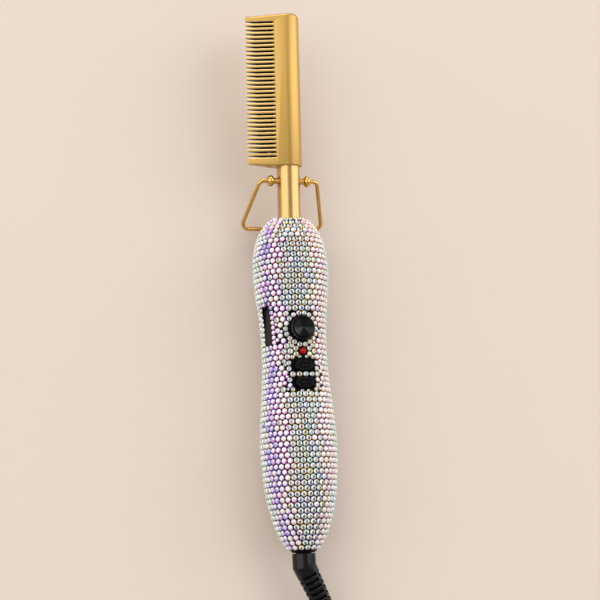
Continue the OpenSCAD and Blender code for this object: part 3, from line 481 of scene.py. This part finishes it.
# Cord: from the boot to the floor, a hank of seven long turns, and up on it to the plug
cordFacts = dict(r=3.0, sides=16, hankX=9.4, south=-300.0, north=-240.0, outR=24.6, pitch=6.4, low=3.5,
                 rise=6.3, cross=44.0, dip=3.6, swing=31.0, inBoot=2.0, sideSteps=6, endSteps=12, between=3)
leadPoints = [(25.6, -199.7, 10.8), (29.5, -209, 8.2), (32.3, -218.7, 5.6), (33.7, -228.8, 4)]
tailPoints = [(-12.5, -230, 28.9), (-5.2, -222.7, 29.5), (4.8, -220, 30.4), (14.8, -222.7, 31.4),
              (22.1, -230, 32.4), (24.8, -240, 33), (24.8, -250, 33.2)]
hankTurns = [(0, 0), (1, 0), (1, 1), (0, 1), (0, 2), (1, 2), (1, 3), (0, 4)]  # column and layer, turn by turn


def hankPoints():  # each turn runs down the right, round the far end and up the left, where it crosses over
    c = cordFacts
    sideSteps, endSteps = c["sideSteps"], c["endSteps"]
    points = []

    def put(offset, y, z, side):
        points.append(Vector((c["hankX"] + side * (c["outR"] - offset), y, z)))

    for (column, layer), (nextColumn, nextLayer) in zip(hankTurns, hankTurns[1:]):
        offset, nextOffset = column * c["pitch"], nextColumn * c["pitch"]
        z, nextZ = c["low"] + layer * c["rise"], c["low"] + nextLayer * c["rise"]
        for k in range(sideSteps):
            put(offset, c["north"] + (c["south"] - c["north"]) * k / sideSteps, z, 1)
        for k in range(endSteps):
            a = math.pi * k / endSteps
            r = c["outR"] - offset
            points.append(Vector((c["hankX"] + r * math.cos(a), c["south"] - r * math.sin(a), z)))
        start = c["north"] - c["cross"]
        put(offset, c["south"], z, -1)
        put(offset, (c["south"] + start) / 2, z, -1)
        away = 0 if column != nextColumn else 1 if column else -1
        for k in range(sideSteps):
            t = k / (sideSteps - 1)
            ease = (1 - math.cos(math.pi * t)) / 2
            put(offset + (nextOffset - offset) * ease + away * c["dip"] * math.sin(math.pi * t) ** 2,
                start + c["cross"] * t, z + (nextZ - z) * ease, -1)
        if nextLayer < hankTurns[-1][1]:
            for k in range(1, endSteps):
                a = math.pi * k / endSteps
                r = c["outR"] - nextOffset
                points.append(Vector((c["hankX"] - r * math.cos(a), c["north"] + r * math.sin(a), nextZ)))
    return points


route = [bootTip / mm - bootDir * cordFacts["inBoot"], *map(Vector, leadPoints), *hankPoints(),
         *map(Vector, tailPoints)]
cordPath = [p * mm for p in spline(route, cordFacts["between"])]
cordPath = [bootTip - bootDir * cordFacts["inBoot"] * mm] + cordPath[1:]
cord = tube("cord", cordPath, cordFacts["r"] * mm, cordFacts["sides"], bootDir)
finishPiece(cord, "cord", rubberBlack, None, "cord")
swingEnd = bootTip + bootDir * cordFacts["swing"] * mm
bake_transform(cord, "swivel", "handle", start=tuple(bootTip), end=tuple(swingEnd))

# The turn is shared out along the cord's own length, so that the hank stays where it lies
walked, pathTree = [-cordFacts["inBoot"] * mm], KDTree(len(cordPath))
for a, b in zip(cordPath, cordPath[1:]):
    walked.append(walked[-1] + (b - a).length)
for i, place in enumerate(cordPath):
    pathTree.insert(place, i)
pathTree.balance()
for v in cord.data.vertices:
    share = min(max(walked[pathTree.find(v.co)[1]] / (cordFacts["swing"] * mm), 0), 1)
    cord.data.attributes["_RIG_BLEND"].data[v.index].value = share * share * (3 - 2 * share)
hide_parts("cord_lead", "cord_hank", "cord_tail")

# Tie round the hank: a flat strap with its free end laid over it
tie = dict(y=-292.0, w=8.0, t=0.6, halfX=28.2, top=26.0, corner=6.0, cornerSteps=8, flapLong=18, flapThick=0.7,
           flapX=8, flapCorner=0.3, lift=0.05, low=0.3, edge=0.15)
hankTie = roundedBlock(2 * tie["halfX"], tie["top"] - tie["t"], tie["w"], tie["corner"], tie["cornerSteps"])
pick(hankTie, "FACE", lambda f: abs(f.normal.z) > 0.9)
bpy.ops.mesh.delete(type="ONLY_FACE")
bpy.ops.object.mode_set(mode="OBJECT")
tieThick = hankTie.modifiers.new("thick", "SOLIDIFY")
tieThick.thickness = tie["t"] * mm
tieThick.offset = 1
bpy.ops.object.modifier_apply(modifier="thick")
flap = roundedBlock(tie["flapLong"], tie["flapThick"], tie["w"], tie["flapCorner"], 2)
done(flap)
putAt(flap, Matrix.Translation((tie["flapX"] * mm, (tie["top"] / 2 + tie["t"] + tie["lift"]) * mm, 0)))
hankTie = joined([hankTie, flap])
edit(hankTie)
done(hankTie)
roundEdges(hankTie, tie["edge"], 1, 40)
putAt(hankTie, standing((cordFacts["hankX"], tie["y"] + tie["w"] / 2, tie["top"] / 2 + tie["low"])))
finishPiece(hankTie, "hankTie", strapBlack, "handle", "insulator", "cord_tie")

# Plug: a flat moulded body with finger ridges and a ribbed relief, on the hank
plug = dict(at=(24.8, -250.0, 33.2), relief=14.0, flareLong=19.8, w=35.0, neckW=13.0, t=13.6, neckT=12.0,
            corner=3.5, steps=(0.8, 2.4, 0.8, 2.4, 0.8, 2.4, 6.6), ridges=(2.0, 5.2, 8.4), ridgeHalf=0.9,
            ridgeDeep=0.7, rim=1.6, rimDeep=0.4, edge=0.7)
plugBody = roundedBlock(plug["neckW"], plug["neckT"], plug["flareLong"], plug["corner"], 5)
topFace(plugBody)
bpy.ops.transform.resize(value=(plug["w"] / plug["neckW"], plug["t"] / plug["neckT"], 1),
                         center_override=(0, 0, plug["flareLong"] * mm))
for step in plug["steps"]:
    extrudeUp(step)


def inRidges(f):
    z = f.calc_center_median().z / mm - plug["flareLong"]
    return abs(f.normal.x) > 0.6 and any(abs(z - ridge) < plug["ridgeHalf"] for ridge in plug["ridges"])


pick(plugBody, "FACE", inRidges)
sink(plug["ridgeDeep"])
topFace(plugBody)
inset(plug["rim"])
extrudeUp(-plug["rimDeep"])
done(plugBody, 35)
roundEdges(plugBody, plug["edge"], 3, 40)
ribs = dict(tip=((3.35, 0), (3.75, 0.3)), first=0.8, pitch=2.2, count=6, widen=0.11, sides=24,
            rib=((3.9, 0), (3.9, 1.3), (3.3, 1.4), (3.3, 2.1)), root=((5.5, 14.0), (5.5, 15.5)))
reliefSections = list(ribs["tip"])
for i in range(ribs["count"]):
    start = ribs["first"] + i * ribs["pitch"]
    reliefSections += [(r + start * ribs["widen"], start + z) for r, z in ribs["rib"]]
relief = turned([*reliefSections, *ribs["root"]], ribs["sides"])
done(relief, 35)
putAt(plugBody, Matrix.Translation((0, 0, plug["relief"] * mm)))
plugBody = joined([plugBody, relief])
putAt(plugBody, standing(plug["at"]))
finishPiece(plugBody, "plugBody", rubberBlack, "handle", "cord", "plug_body")
print("cord, tie and plug ready")

# Comb head: the same shape with soft edges, softer still round its far end
head = dict(toothEdge=0.38, endEdge=1.3, edgeSteps=3, flatAngle=0.8, sharpAngle=32, endLong=3.5, endLean=0.02,
            spineX=-20, middle=0.5, nearBore=6.3, slotX=-5, slopeFrom=0.25, wallFrom=0.93)
combHead = newObject("combHead", frame["nodes"]["comb_head"].data.copy())
edit(combHead)
bpy.ops.mesh.select_all(action="SELECT")
bpy.ops.mesh.remove_doubles(threshold=collapsed)
bpy.ops.mesh.customdata_custom_splitnormals_clear()
bpy.ops.mesh.dissolve_limited(angle_limit=math.radians(head["flatAngle"]))
bm = bmesh.from_edit_mesh(combHead.data)
weights = bm.edges.layers.float.new("bevel_weight_edge")
for e in bm.edges:
    if len(e.link_faces) != 2 or e.calc_face_angle(0) < math.radians(head["sharpAngle"]):
        continue
    x, s, n = neckPlace((e.verts[0].co + e.verts[1].co) / 2)
    outside = abs(n) > head["middle"] or x < head["spineX"]
    if s > comb["headHigh"] - head["endLong"] + min(0, x) * head["endLean"] and outside:
        e[weights] = 1.0
    elif math.hypot(x, n) > head["nearBore"]:
        e[weights] = head["toothEdge"] / head["endEdge"]
bmesh.update_edit_mesh(combHead.data)
bpy.ops.object.mode_set(mode="OBJECT")
softEdges = combHead.modifiers.new("softEdges", "BEVEL")
softEdges.width = head["endEdge"] * mm
softEdges.segments = head["edgeSteps"]
softEdges.limit_method = "WEIGHT"
softEdges.use_clamp_overlap = False
bpy.ops.object.modifier_apply(modifier="softEdges")
bpy.ops.object.shade_smooth_by_angle(angle=math.radians(40))
finishPiece(combHead, "combHead", goldSatin, "handle", "gold_head", "comb_head")
for finish in (goldSlotShade, goldEdgeHighlight):
    combHead.data.materials.append(finish)
neckUp = onNeck(0, 1, 0) - onNeck(0, 0, 0)
neckUp.normalize()
# Painted shade: the slots' walls, facing along the neck, get the dark slot gold; painted highlight: the
# teeth's sloped bevels get the pale edge gold
for f in combHead.data.polygons:
    x, s = neckPlace(f.center)[:2]
    between = comb["headLow"] + head["endEdge"] < s < comb["headHigh"] - 2 * head["endEdge"]
    along = abs(f.normal.dot(neckUp))
    if between and x < head["slotX"] and along > head["slopeFrom"]:
        f.material_index = 1 if along > head["wallFrom"] else 2
print("comb head ready, faces", len(combHead.data.polygons))

# Wire stand: the bent wire, shaded round
wire = newObject("bentWire", frame["nodes"]["wire_stand"].data.copy())
edit(wire)
bpy.ops.mesh.customdata_custom_splitnormals_clear()
done(wire, 50)
finishPiece(wire, "bentWire", goldPolished, "stand", "gold_wire", "wire_stand")

# Power button: a turned cap whose dish has fine rings, in a sloped bezel
power = dict(sides=72, flangeR=5.75, dishR=4.85, dishTop=20.55, dishDepth=0.5, rings=15, ringDeep=0.03,
             cap=((5.75, 12.3), (5.3, 12.3), (5.3, 20.35), (5.24, 20.55), (5.12, 20.67), (5.0, 20.7),
                  (4.85, 20.64)),
             bezel=((5.45, 12.6), (6.3, 12.6), (6.22, 17.5), (6.26, 17.9), (6.26, 19.3), (6.22, 19.7),
                    (6.12, 19.98), (5.96, 20.16), (5.76, 20.22), (5.6, 20.14), (5.49, 19.9), (5.45, 12.6)))
capSections = [(power["flangeR"], comb["flangeZ"]), *power["cap"]]
for i in range(1, power["rings"] + 1):
    r = power["dishR"] * (1 - i / (power["rings"] + 0.5))
    raised = power["ringDeep"] if i % 2 else 0
    capSections.append((r, power["dishTop"] - power["dishDepth"] * (1 - r / power["dishR"]) + raised))
powerCap = turned(capSections, power["sides"])
done(powerCap, 40)
spunMap = powerCap.data.uv_layers.new(name="spun")  # outwards along U, and round along V for the spun finish's painted reflection fan
for f in powerCap.data.polygons:
    around = math.atan2(f.center.y, f.center.x)
    for i in f.loop_indices:
        v = powerCap.data.vertices[powerCap.data.loops[i].vertex_index].co
        turnedBy = (math.atan2(v.y, v.x) - around + math.pi) % (2 * math.pi) - math.pi
        spunMap.data[i].uv = (math.hypot(v.x, v.y) / mm, 0.5 + (around + turnedBy) / (2 * math.pi))
putAt(powerCap, Matrix.Translation(onHandle(0, comb["powerD"], 0)))
finishPiece(powerCap, "powerCap", spunBlack, "power_key", "key", "power_button")
powerBezel = turned(power["bezel"], power["sides"], ring=True)
done(powerBezel)
putAt(powerBezel, Matrix.Translation(onHandle(0, comb["powerD"], 0)))
finishPiece(powerBezel, "powerRim", glossBlack, "handle", "shell", "power_bezel")
print("power button ready")

# Keys: a soft-edged cap on a flange, with a groove in its top round a pill, darkened with the duller black as
# painted shade
keyCap = dict(w=9.8, h=5.4, corner=2.4, flange=0.7, flangeT=0.8, pillInset=0.9, pillShare=0.8, groove=0.45,
              grooveDeep=0.5, steps=((12.3, 18.0, 0.16), (18.0, 18.35, 0.3), (18.35, 18.6, 0)), edge=0.12,
              darkFrom=0.1, darkTo=0.6, darkHalf=1.6)  # steps: from, to, and how far in it goes there


def makeKey(name, d, body, node):
    k = keyCap
    wide, high = k["w"] + 2 * k["flange"], k["h"] + 2 * k["flange"]
    o = roundedBlock(wide, high, k["flangeT"], k["corner"] + k["flange"])
    topFace(o)
    inset(k["flange"])
    for z0, z1, inwards in k["steps"]:
        extrudeUp(z1 - z0)
        if inwards:
            inset(inwards)
    inset(k["pillInset"])
    bpy.ops.transform.resize(value=(k["pillShare"], 1, 1), center_override=(0, 0, 0))
    extrudeUp(-k["grooveDeep"])
    inset(k["groove"])
    extrudeUp(k["grooveDeep"])
    done(o, 35)
    roundEdges(o, k["edge"], 3, 40)
    finishPiece(o, name, keyBlack, body, "key", node)
    # Painted shade: the groove round the pill gets the duller black
    o.data.materials.append(shellAndShadeBlack)
    top = max(v.co.z for v in o.data.vertices)
    for f in o.data.polygons:
        x, y, z = f.center
        inShadedGroove = top - k["darkTo"] * mm < z < top - k["darkFrom"] * mm and abs(y) < k["darkHalf"] * mm
        if inShadedGroove and math.hypot(x * k["pillShare"], y) < 0.5 * k["h"] * mm:
            f.material_index = 1
    putAt(o, Matrix.Translation(onHandle(0, d, comb["flangeZ"])))


makeKey("upperKeyCap", comb["upperKeyD"], "upper_key", "upper_key")
makeKey("lowerKeyCap", comb["lowerKeyD"], "lower_key", "lower_key")

# Display window: a glossy lens with a soft edge, down in its opening
window = dict(w=7.0, length=19.6, t=1.6, lowR=14.3, corner=1.0, rim=0.45, rimDeep=0.2, step=0.3, stepUp=0.08,
              edge=0.2)
lens = roundedBlock(window["w"], window["length"], window["t"], window["corner"])
topFace(lens)
inset(window["rim"])
extrudeUp(-window["rimDeep"])
inset(window["step"])
extrudeUp(window["stepUp"])
done(lens, 35)
roundEdges(lens, window["edge"], 2, 40)
putAt(lens, Matrix.Translation(onHandle(0, comb["windowD"], 0))
      @ Matrix.Rotation(-math.radians(comb["windowAngle"]), 4, "Y")
      @ Matrix.Translation((0, 0, window["lowR"] * mm)))
finishPiece(lens, "windowLens", windowBlack, "handle", "window", "display_window")
print("keys and window ready")

# Stones: rings of flat-backed stones down the handle, lines of them round the controls, small ones in the gaps
stones = dict(r=1.53, rowStep=2.84, across=3.24, fewest=6, proud=0.2, topD=1.7, endD=176.5, wobble=0.06,
              leastR=4, ahead=0.5, touching=0.94, gapD=2.5, reach=2.0,
              gaps=((1.48, 0.6, 0.97), (1.15, 0.5, 0.95), (0.85, 0.4, 0.95)))
cut = dict(facets=8, girdle=0.34, crown=((0.86, 0.84), (0.66, 1.17)), height=1.28, table=0.1, coreW=0.44,
           coreL=0.6, twist=0.35, low=0.6)
edging = dict(powerR=8.1, powerCount=18, lightR=3.85, lightCount=8, stone=1.36, windowX=(-4.5, 4.25),
              windowStep=2.62, windowCount=8, windowStone=1.25, betweenX=(-5.7, -2.4, 0.9, 4.2, 7.4),
              betweenD=88.05, betweenStone=1.5, besideX=7.3, besideD=(-1.5, 1.45), share=0.9)

# What the stones leave free: each opening's size, and the share of a stone's radius that it keeps off
free = dict(power=(6.75, 0.93), light=(2.45, 0.95), key=(11.8, 7.2, 2.4, 0.93), window=(7.1, 19.7, 1.2, 0.85),
            neckD=12, neckShare=0.9)
rng = random.Random(7)


def bodyR(d, deep):  # the handle's radius down from its top, deep under its skin
    c = comb
    if d < c["upperBellyD"]:
        dome = 1 - ((c["upperBellyD"] - d) / (c["domeLong"] - deep)) ** c["domePower"]
        return (c["bellyR"] - deep) * max(0.0, dome) ** (1 / c["domePower"])
    if d < c["waistD"]:
        u = math.cos(math.pi / 2 * (d - c["upperBellyD"]) / (c["waistD"] - c["upperBellyD"]))
        return c["waistR"] - deep + (c["bellyR"] - c["waistR"]) * u ** c["upperWaistPower"]
    if d < c["lowerBellyD"]:
        u = math.cos(math.pi / 2 * (c["lowerBellyD"] - d) / (c["lowerBellyD"] - c["waistD"]))
        return c["waistR"] - deep + (c["bellyR"] - c["waistR"]) * u ** c["lowerWaistPower"]
    tail = 1 - ((d - c["lowerBellyD"]) / (c["tailLong"] - deep)) ** c["tailPower"]
    return (c["bellyR"] - deep) * max(0.0, tail) ** (1 / c["tailPower"])


def seatR(d):  # the radius that the stones sit on
    return bodyR(d, comb["stoneH"])


def slopeAt(d, near=0.05):
    return (seatR(d + near) - seatR(d - near)) / (2 * near)


def seat(d, angle):  # a place under the stones and its outward direction, angle from the buttons towards +X
    r = seatR(d)
    radial = Vector((math.sin(angle), 0, math.cos(angle)))
    return onHandle(r * radial.x, d, r * radial.z), (radial + Vector((0, slopeAt(d), 0))).normalized()


def overRound(x, d, radius, r, share):
    return math.hypot(x, d) < r + radius * share


def overBlock(x, d, radius, w, h, r, share):
    return math.hypot(max(abs(x) - (w / 2 - r), 0), max(abs(d) - (h / 2 - r), 0)) < r + radius * share


def isFree(d, angle, radius):  # no stone over the controls, the window and the neck
    r = seatR(d)
    x, z = r * math.sin(angle), r * math.cos(angle)
    if z > 0 and (overRound(x, d - comb["powerD"], radius, *free["power"])
                  or overRound(x, d - comb["lightD"], radius, *free["light"])
                  or overBlock(x, d - comb["upperKeyD"], radius, *free["key"])
                  or overBlock(x, d - comb["lowerKeyD"], radius, *free["key"])):
        return False
    fromWindow = angle + math.radians(comb["windowAngle"])
    windowX, windowD = r * math.sin(fromWindow), d - comb["windowD"]
    if abs(fromWindow) < 1 and overBlock(windowX, windowD, radius, *free["window"]):
        return False
    if d < free["neckD"]:
        a = math.radians(comb["lean"])
        v = Vector((x, comb["leanAt"] - d, z))
        axis = Vector((0, math.cos(a), math.sin(a)))
        return (v - axis * v.dot(axis)).length >= comb["boreR"] + radius * free["neckShare"]
    return True


places = []  # seat, outward direction, angle, radius


def addStone(d, angle, radius):
    places.append((*seat(d, angle), angle, radius))


def angleOf(x, d):  # how far round the front a place lies that is x to the right of the buttons
    return math.asin(x / seatR(d))


def isClear(d, angle, radius, others):  # no stone already placed is in the way
    p = seat(d, angle)[0]
    return all((p - q[0]).length > (radius + q[3]) * stones["touching"] * mm for q in others)


def stoneRing(centreD, ringR, radius, count):  # a ring of stones close round a control
    for k in range(count):
        a = 2 * math.pi * (k + 0.5) / count
        d = centreD + ringR * math.cos(a)
        angle = angleOf(ringR * math.sin(a), d)
        if isFree(d, angle, radius * edging["share"]) and isClear(d, angle, radius, places):
            addStone(d, angle, radius)


stoneRing(comb["lightD"], edging["lightR"], edging["stone"], edging["lightCount"])
stoneRing(comb["powerD"], edging["powerR"], edging["stone"], edging["powerCount"])
for x in edging["betweenX"]:
    addStone(edging["betweenD"], angleOf(x, edging["betweenD"]), edging["betweenStone"])
for keyD in (comb["upperKeyD"], comb["lowerKeyD"]):
    for x in (-edging["besideX"], edging["besideX"]):
        for step in edging["besideD"]:
            if isClear(keyD + step, angleOf(x, keyD + step), edging["stone"], places):
                addStone(keyD + step, angleOf(x, keyD + step), edging["stone"])
for x in edging["windowX"]:
    for k in range(edging["windowCount"]):
        d = comb["windowD"] + (k - (edging["windowCount"] - 1) / 2) * edging["windowStep"]
        angle = x / seatR(d) - math.radians(comb["windowAngle"])
        addStone(d, angle, edging["windowStone"])
edgeStones = list(places)

d, row = stones["topD"], 0
while d < stones["endD"]:
    r = seatR(d)
    count = max(stones["fewest"], int(2 * math.pi * (r + stones["proud"]) / stones["across"]))
    for k in range(count):
        angle = (2 * math.pi * (k + 0.5 * (row % 2)) / count + math.pi) % (2 * math.pi) - math.pi
        dd = d + rng.uniform(-1, 1) * stones["wobble"]
        aa = angle + rng.uniform(-1, 1) * stones["wobble"] / max(r, stones["leastR"])
        if isFree(dd, aa, stones["r"]) and isClear(dd, aa, stones["r"], edgeStones):
            addStone(dd, aa, stones["r"])
    d += stones["rowStep"] / math.hypot(1, slopeAt(d + stones["ahead"]))
    row += 1


def fillGaps(radius, step, tight):  # stones of one radius, tried at every step, wherever one still fits
    tree = KDTree(len(places))
    for i, s in enumerate(places):
        tree.insert(s[0], i)
    tree.balance()
    added = []
    d = stones["gapD"]
    while d < stones["endD"]:
        count = int(2 * math.pi * seatR(d) / step)
        for k in range(count):
            angle = 2 * math.pi * k / count - math.pi
            if not isFree(d, angle, radius):
                continue
            p = seat(d, angle)[0]
            near = tree.find_range(p, (stones["reach"] + radius) * mm)
            if any(away < (radius + places[i][3]) * tight * mm for _, i, away in near):
                continue
            if any((p - q).length < 2 * radius * tight * mm for q in added):
                continue
            added.append(p)
            addStone(d, angle, radius)
        d += step


for gap in stones["gaps"]:
    fillGaps(*gap)
print("stones", len(places))

# The coating's colours: the white of a stone's facets, which is a painted reflection of the light, its tinted
# facets, and what shows through its middle
coatings = dict(
    clear=dict(
        reflectionWhite=(255, 255, 252), ends=True, deep=0.8,
        tints=[(186, 204, 196), (222, 202, 116), (160, 198, 208), (226, 186, 160), (200, 190, 224)],
        cores=[(62, 92, 100), (86, 94, 56), (112, 84, 48), (54, 98, 142), (98, 104, 102), (80, 74, 128),
               (74, 106, 84), (128, 116, 78)]),
    blush=dict(
        reflectionWhite=(255, 252, 255), ends=False, deep=0,
        tints=[(232, 142, 210), (206, 128, 230), (246, 184, 220), (244, 210, 184)],
        cores=[(255, 252, 254), (252, 240, 250), (250, 246, 236)]),
    violet=dict(
        reflectionWhite=(252, 246, 255), ends=False, deep=0.4,
        tints=[(122, 84, 200), (166, 114, 218), (88, 84, 184), (200, 128, 210)],
        cores=[(190, 166, 230), (226, 214, 244), (140, 128, 208), (240, 232, 246)]),
    pearl=dict(
        reflectionWhite=(252, 255, 250), ends=True, deep=0.7,
        tints=[(156, 180, 172), (184, 168, 204), (212, 196, 144), (150, 160, 180), (220, 176, 190)],
        cores=[(186, 200, 196), (146, 160, 164), (220, 224, 218), (112, 130, 134)]),
    rose=dict(
        reflectionWhite=(255, 248, 246), ends=False, deep=0.3,
        tints=[(222, 134, 150), (234, 184, 110), (188, 138, 202), (228, 160, 128)],
        cores=[(246, 236, 236), (230, 210, 190), (208, 188, 210), (250, 240, 220)]),
    mint=dict(
        reflectionWhite=(246, 254, 250), ends=True, deep=0.6,
        tints=[(128, 188, 182), (164, 204, 198), (200, 198, 156), (176, 190, 206)],
        cores=[(182, 210, 206), (138, 182, 180), (210, 228, 224)]))

# Where each coating starts, in degrees from the buttons; the coating's colours, which shift with the angle
# they are seen from, are painted here by the angle round the handle as a painted sheen
coatBands = [(-180, "clear"), (-160, "rose"), (-128, "mint"), (-96, "pearl"), (-72, "violet"), (-54, "blush"),
             (-31, "clear"), (20, "rose"), (55, "mint"), (100, "pearl"), (116, "violet"), (130, "blush"),
             (150, "clear")]
sparkle = dict(scatter=4.5, strayShare=0.07, strayBy=24, richness=1.4, coreShades=(0.8, 1.12), coreLitHalf=1.15,
               coreShadedHalf=0.85, dullest=0.93, tintToward=(-0.6, 0.8), outerR=0.8, outerTint=(0.06, 0.92),
               outerPower=1.5, innerTint=0.75)
# Painted shade: the stones' girdles, down between them, are dark
girdleShade = (34, 30, 48)


def coatingAt(angle):
    degrees = (math.degrees(angle) + rng.gauss(0, sparkle["scatter"]) + 180) % 360 - 180
    if rng.random() < sparkle["strayShare"]:
        degrees += rng.choice((-sparkle["strayBy"], sparkle["strayBy"]))
    return coatings[[name for start, name in coatBands if start <= degrees or start == -180][-1]]


def rich(c):  # the same colour, deeper
    grey = sum(c) / 3
    return tuple(max(0.0, min(255.0, grey + (v - grey) * sparkle["richness"])) for v in c)


def mixColour(a, b, t):
    return tuple(x + (y - x) * t for x, y in zip(a, b))


def shade(c, k):
    return tuple(min(255.0, v * k) for v in c)


# One stone, turned and then squeezed to its long middle; every stone is a copy of it
oneStone = turned([(1, 0), (1, cut["girdle"]), *cut["crown"]], cut["facets"])
tableR, tableZ = cut["crown"][-1]
inset(cut["table"] * tableR)
coreR = tableR - cut["table"] * tableR / math.cos(math.pi / cut["facets"])
bpy.ops.transform.resize(value=(cut["coreW"] / coreR, cut["coreL"] / coreR, 1),
                         center_override=(0, 0, tableZ * mm))
bpy.ops.transform.translate(value=(0, 0, (cut["height"] - tableZ) * mm))
bpy.ops.object.mode_set(mode="OBJECT")
stoneVerts = [v.co / mm for v in oneStone.data.vertices]
stoneFaces = sorted(tuple(f.vertices) for f in oneStone.data.polygons)  # extruded faces come in any order
stoneMiddles = [sum((stoneVerts[i] for i in f), Vector()) / len(f) for f in stoneFaces]
bpy.data.objects.remove(oneStone)


def facetColours(face, middle, look, tint, core):  # a colour for each corner of a facet
    # Painted shading: each stone's core is lighter on its half towards the handle's top and darker on the
    # other
    if len(face) > 4:
        return [shade(core, sparkle["coreLitHalf"] if stoneVerts[i].y < 0 else sparkle["coreShadedHalf"]) for i in face]
    if middle.z < cut["girdle"]:
        return [girdleShade] * len(face)
    # Painted light: a facet takes more tint the more it turns towards one side, and keeps the painted white
    # reflection on the other; stones with ends keep the white on their two sides and take the tint at their
    # ends
    a = math.atan2(middle.y, middle.x)
    tintX, tintY = sparkle["tintToward"]
    share = math.sin(a) ** 2 if look["ends"] else max(0, 0.5 + 0.5 * (tintY * math.sin(a) + tintX * math.cos(a)))
    glint = rng.uniform(sparkle["dullest"], 1.0)
    if math.hypot(middle.x, middle.y) > sparkle["outerR"]:
        least, most = sparkle["outerTint"]
        colour = mixColour(look["reflectionWhite"], tint, least + most * share ** sparkle["outerPower"])
    elif middle.z < tableZ:
        colour = mixColour(look["reflectionWhite"], tint, sparkle["innerTint"] * share ** 2)
    else:
        colour = mixColour(look["reflectionWhite"], core, look["deep"] * share ** 2)
    return [shade(colour, glint)] * len(face)


def stoneCover(name, chosen, node):  # all the stones of one half, each with its own colours
    verts, faces, colours = [], [], []
    for p, n, angle, radius in chosen:
        down = (Vector((0, -1, 0)) - n * n.dot(Vector((0, -1, 0)))).normalized()
        side = down.cross(n)
        twist = rng.uniform(-cut["twist"], cut["twist"])
        high = cut["low"] + (1 - cut["low"]) * radius / stones["r"]  # small stones are lower
        base = len(verts)
        for v in stoneVerts:
            x = v.x * math.cos(twist) - v.y * math.sin(twist)
            y = v.x * math.sin(twist) + v.y * math.cos(twist)
            verts.append(p + (side * x + down * y) * radius * mm + n * v.z * high * mm)
        look = coatingAt(angle)
        tint = rich(rng.choice(look["tints"]))
        core = shade(rich(rng.choice(look["cores"])), rng.uniform(*sparkle["coreShades"]))
        for face, middle in zip(stoneFaces, stoneMiddles):
            faces.append(tuple(base + i for i in face))
            colours += facetColours(face, middle, look, tint, core)
    mesh = bpy.data.meshes.new(name)
    mesh.from_pydata(verts, [], faces)
    paint = mesh.color_attributes.new("stoneColor", "FLOAT_COLOR", "CORNER")
    paint.data.foreach_set("color", [v for c in colours for v in (*linear(c), 1.0)])
    finishPiece(newObject(name, mesh), name, stoneGlass, "handle", "stone", node)


stoneCover("frontStones", [s for s in places if math.cos(s[2]) >= 0], "front_stones")
stoneCover("rearStones", [s for s in places if math.cos(s[2]) < 0], "rear_stones")
print("stones ready")

# Floor and light
stage = dict(floor=(224, 209, 195), floorSize=12, world=0.5, worldColour=(1, 0.985, 0.96, 1))
lamps = dict(rightLamp=((3.4, 1.2, 2.2), (2.8, 6.8), 110.0), leftLamp=((-3.48, 0.8, 2.0), (3.6, 6.4), 112.0),
             topLamp=((-0.6, 3.8, 2.2), (3.2, 1.4), 68.0))  # place and size in metres, and watts
floorPale = newFinish("floorPale", linear(stage["floor"]), 0.8, vary=0.015, varyScale=3)
deselectAll()
bpy.ops.mesh.primitive_plane_add(size=stage["floorSize"])
floor = bpy.context.object
floor.name = "floor"
floor.data.materials.append(floorPale)
world = bpy.data.worlds.new("world")
world.use_nodes = True
worldLight = world.node_tree.nodes["Background"]
worldLight.inputs["Color"].default_value = stage["worldColour"]
worldLight.inputs["Strength"].default_value = stage["world"]
bpy.context.scene.world = world
for name, (place, size, watts) in lamps.items():
    data = bpy.data.lights.new(name, "AREA")
    data.shape = "RECTANGLE"
    data.size, data.size_y = size
    data.energy = watts
    o = newObject(name, data)
    o.location = place
    o.rotation_euler = (-Vector(place)).to_track_quat("-Z", "Y").to_euler()
bpy.context.scene.view_settings.view_transform = "Standard"
print("light ready")
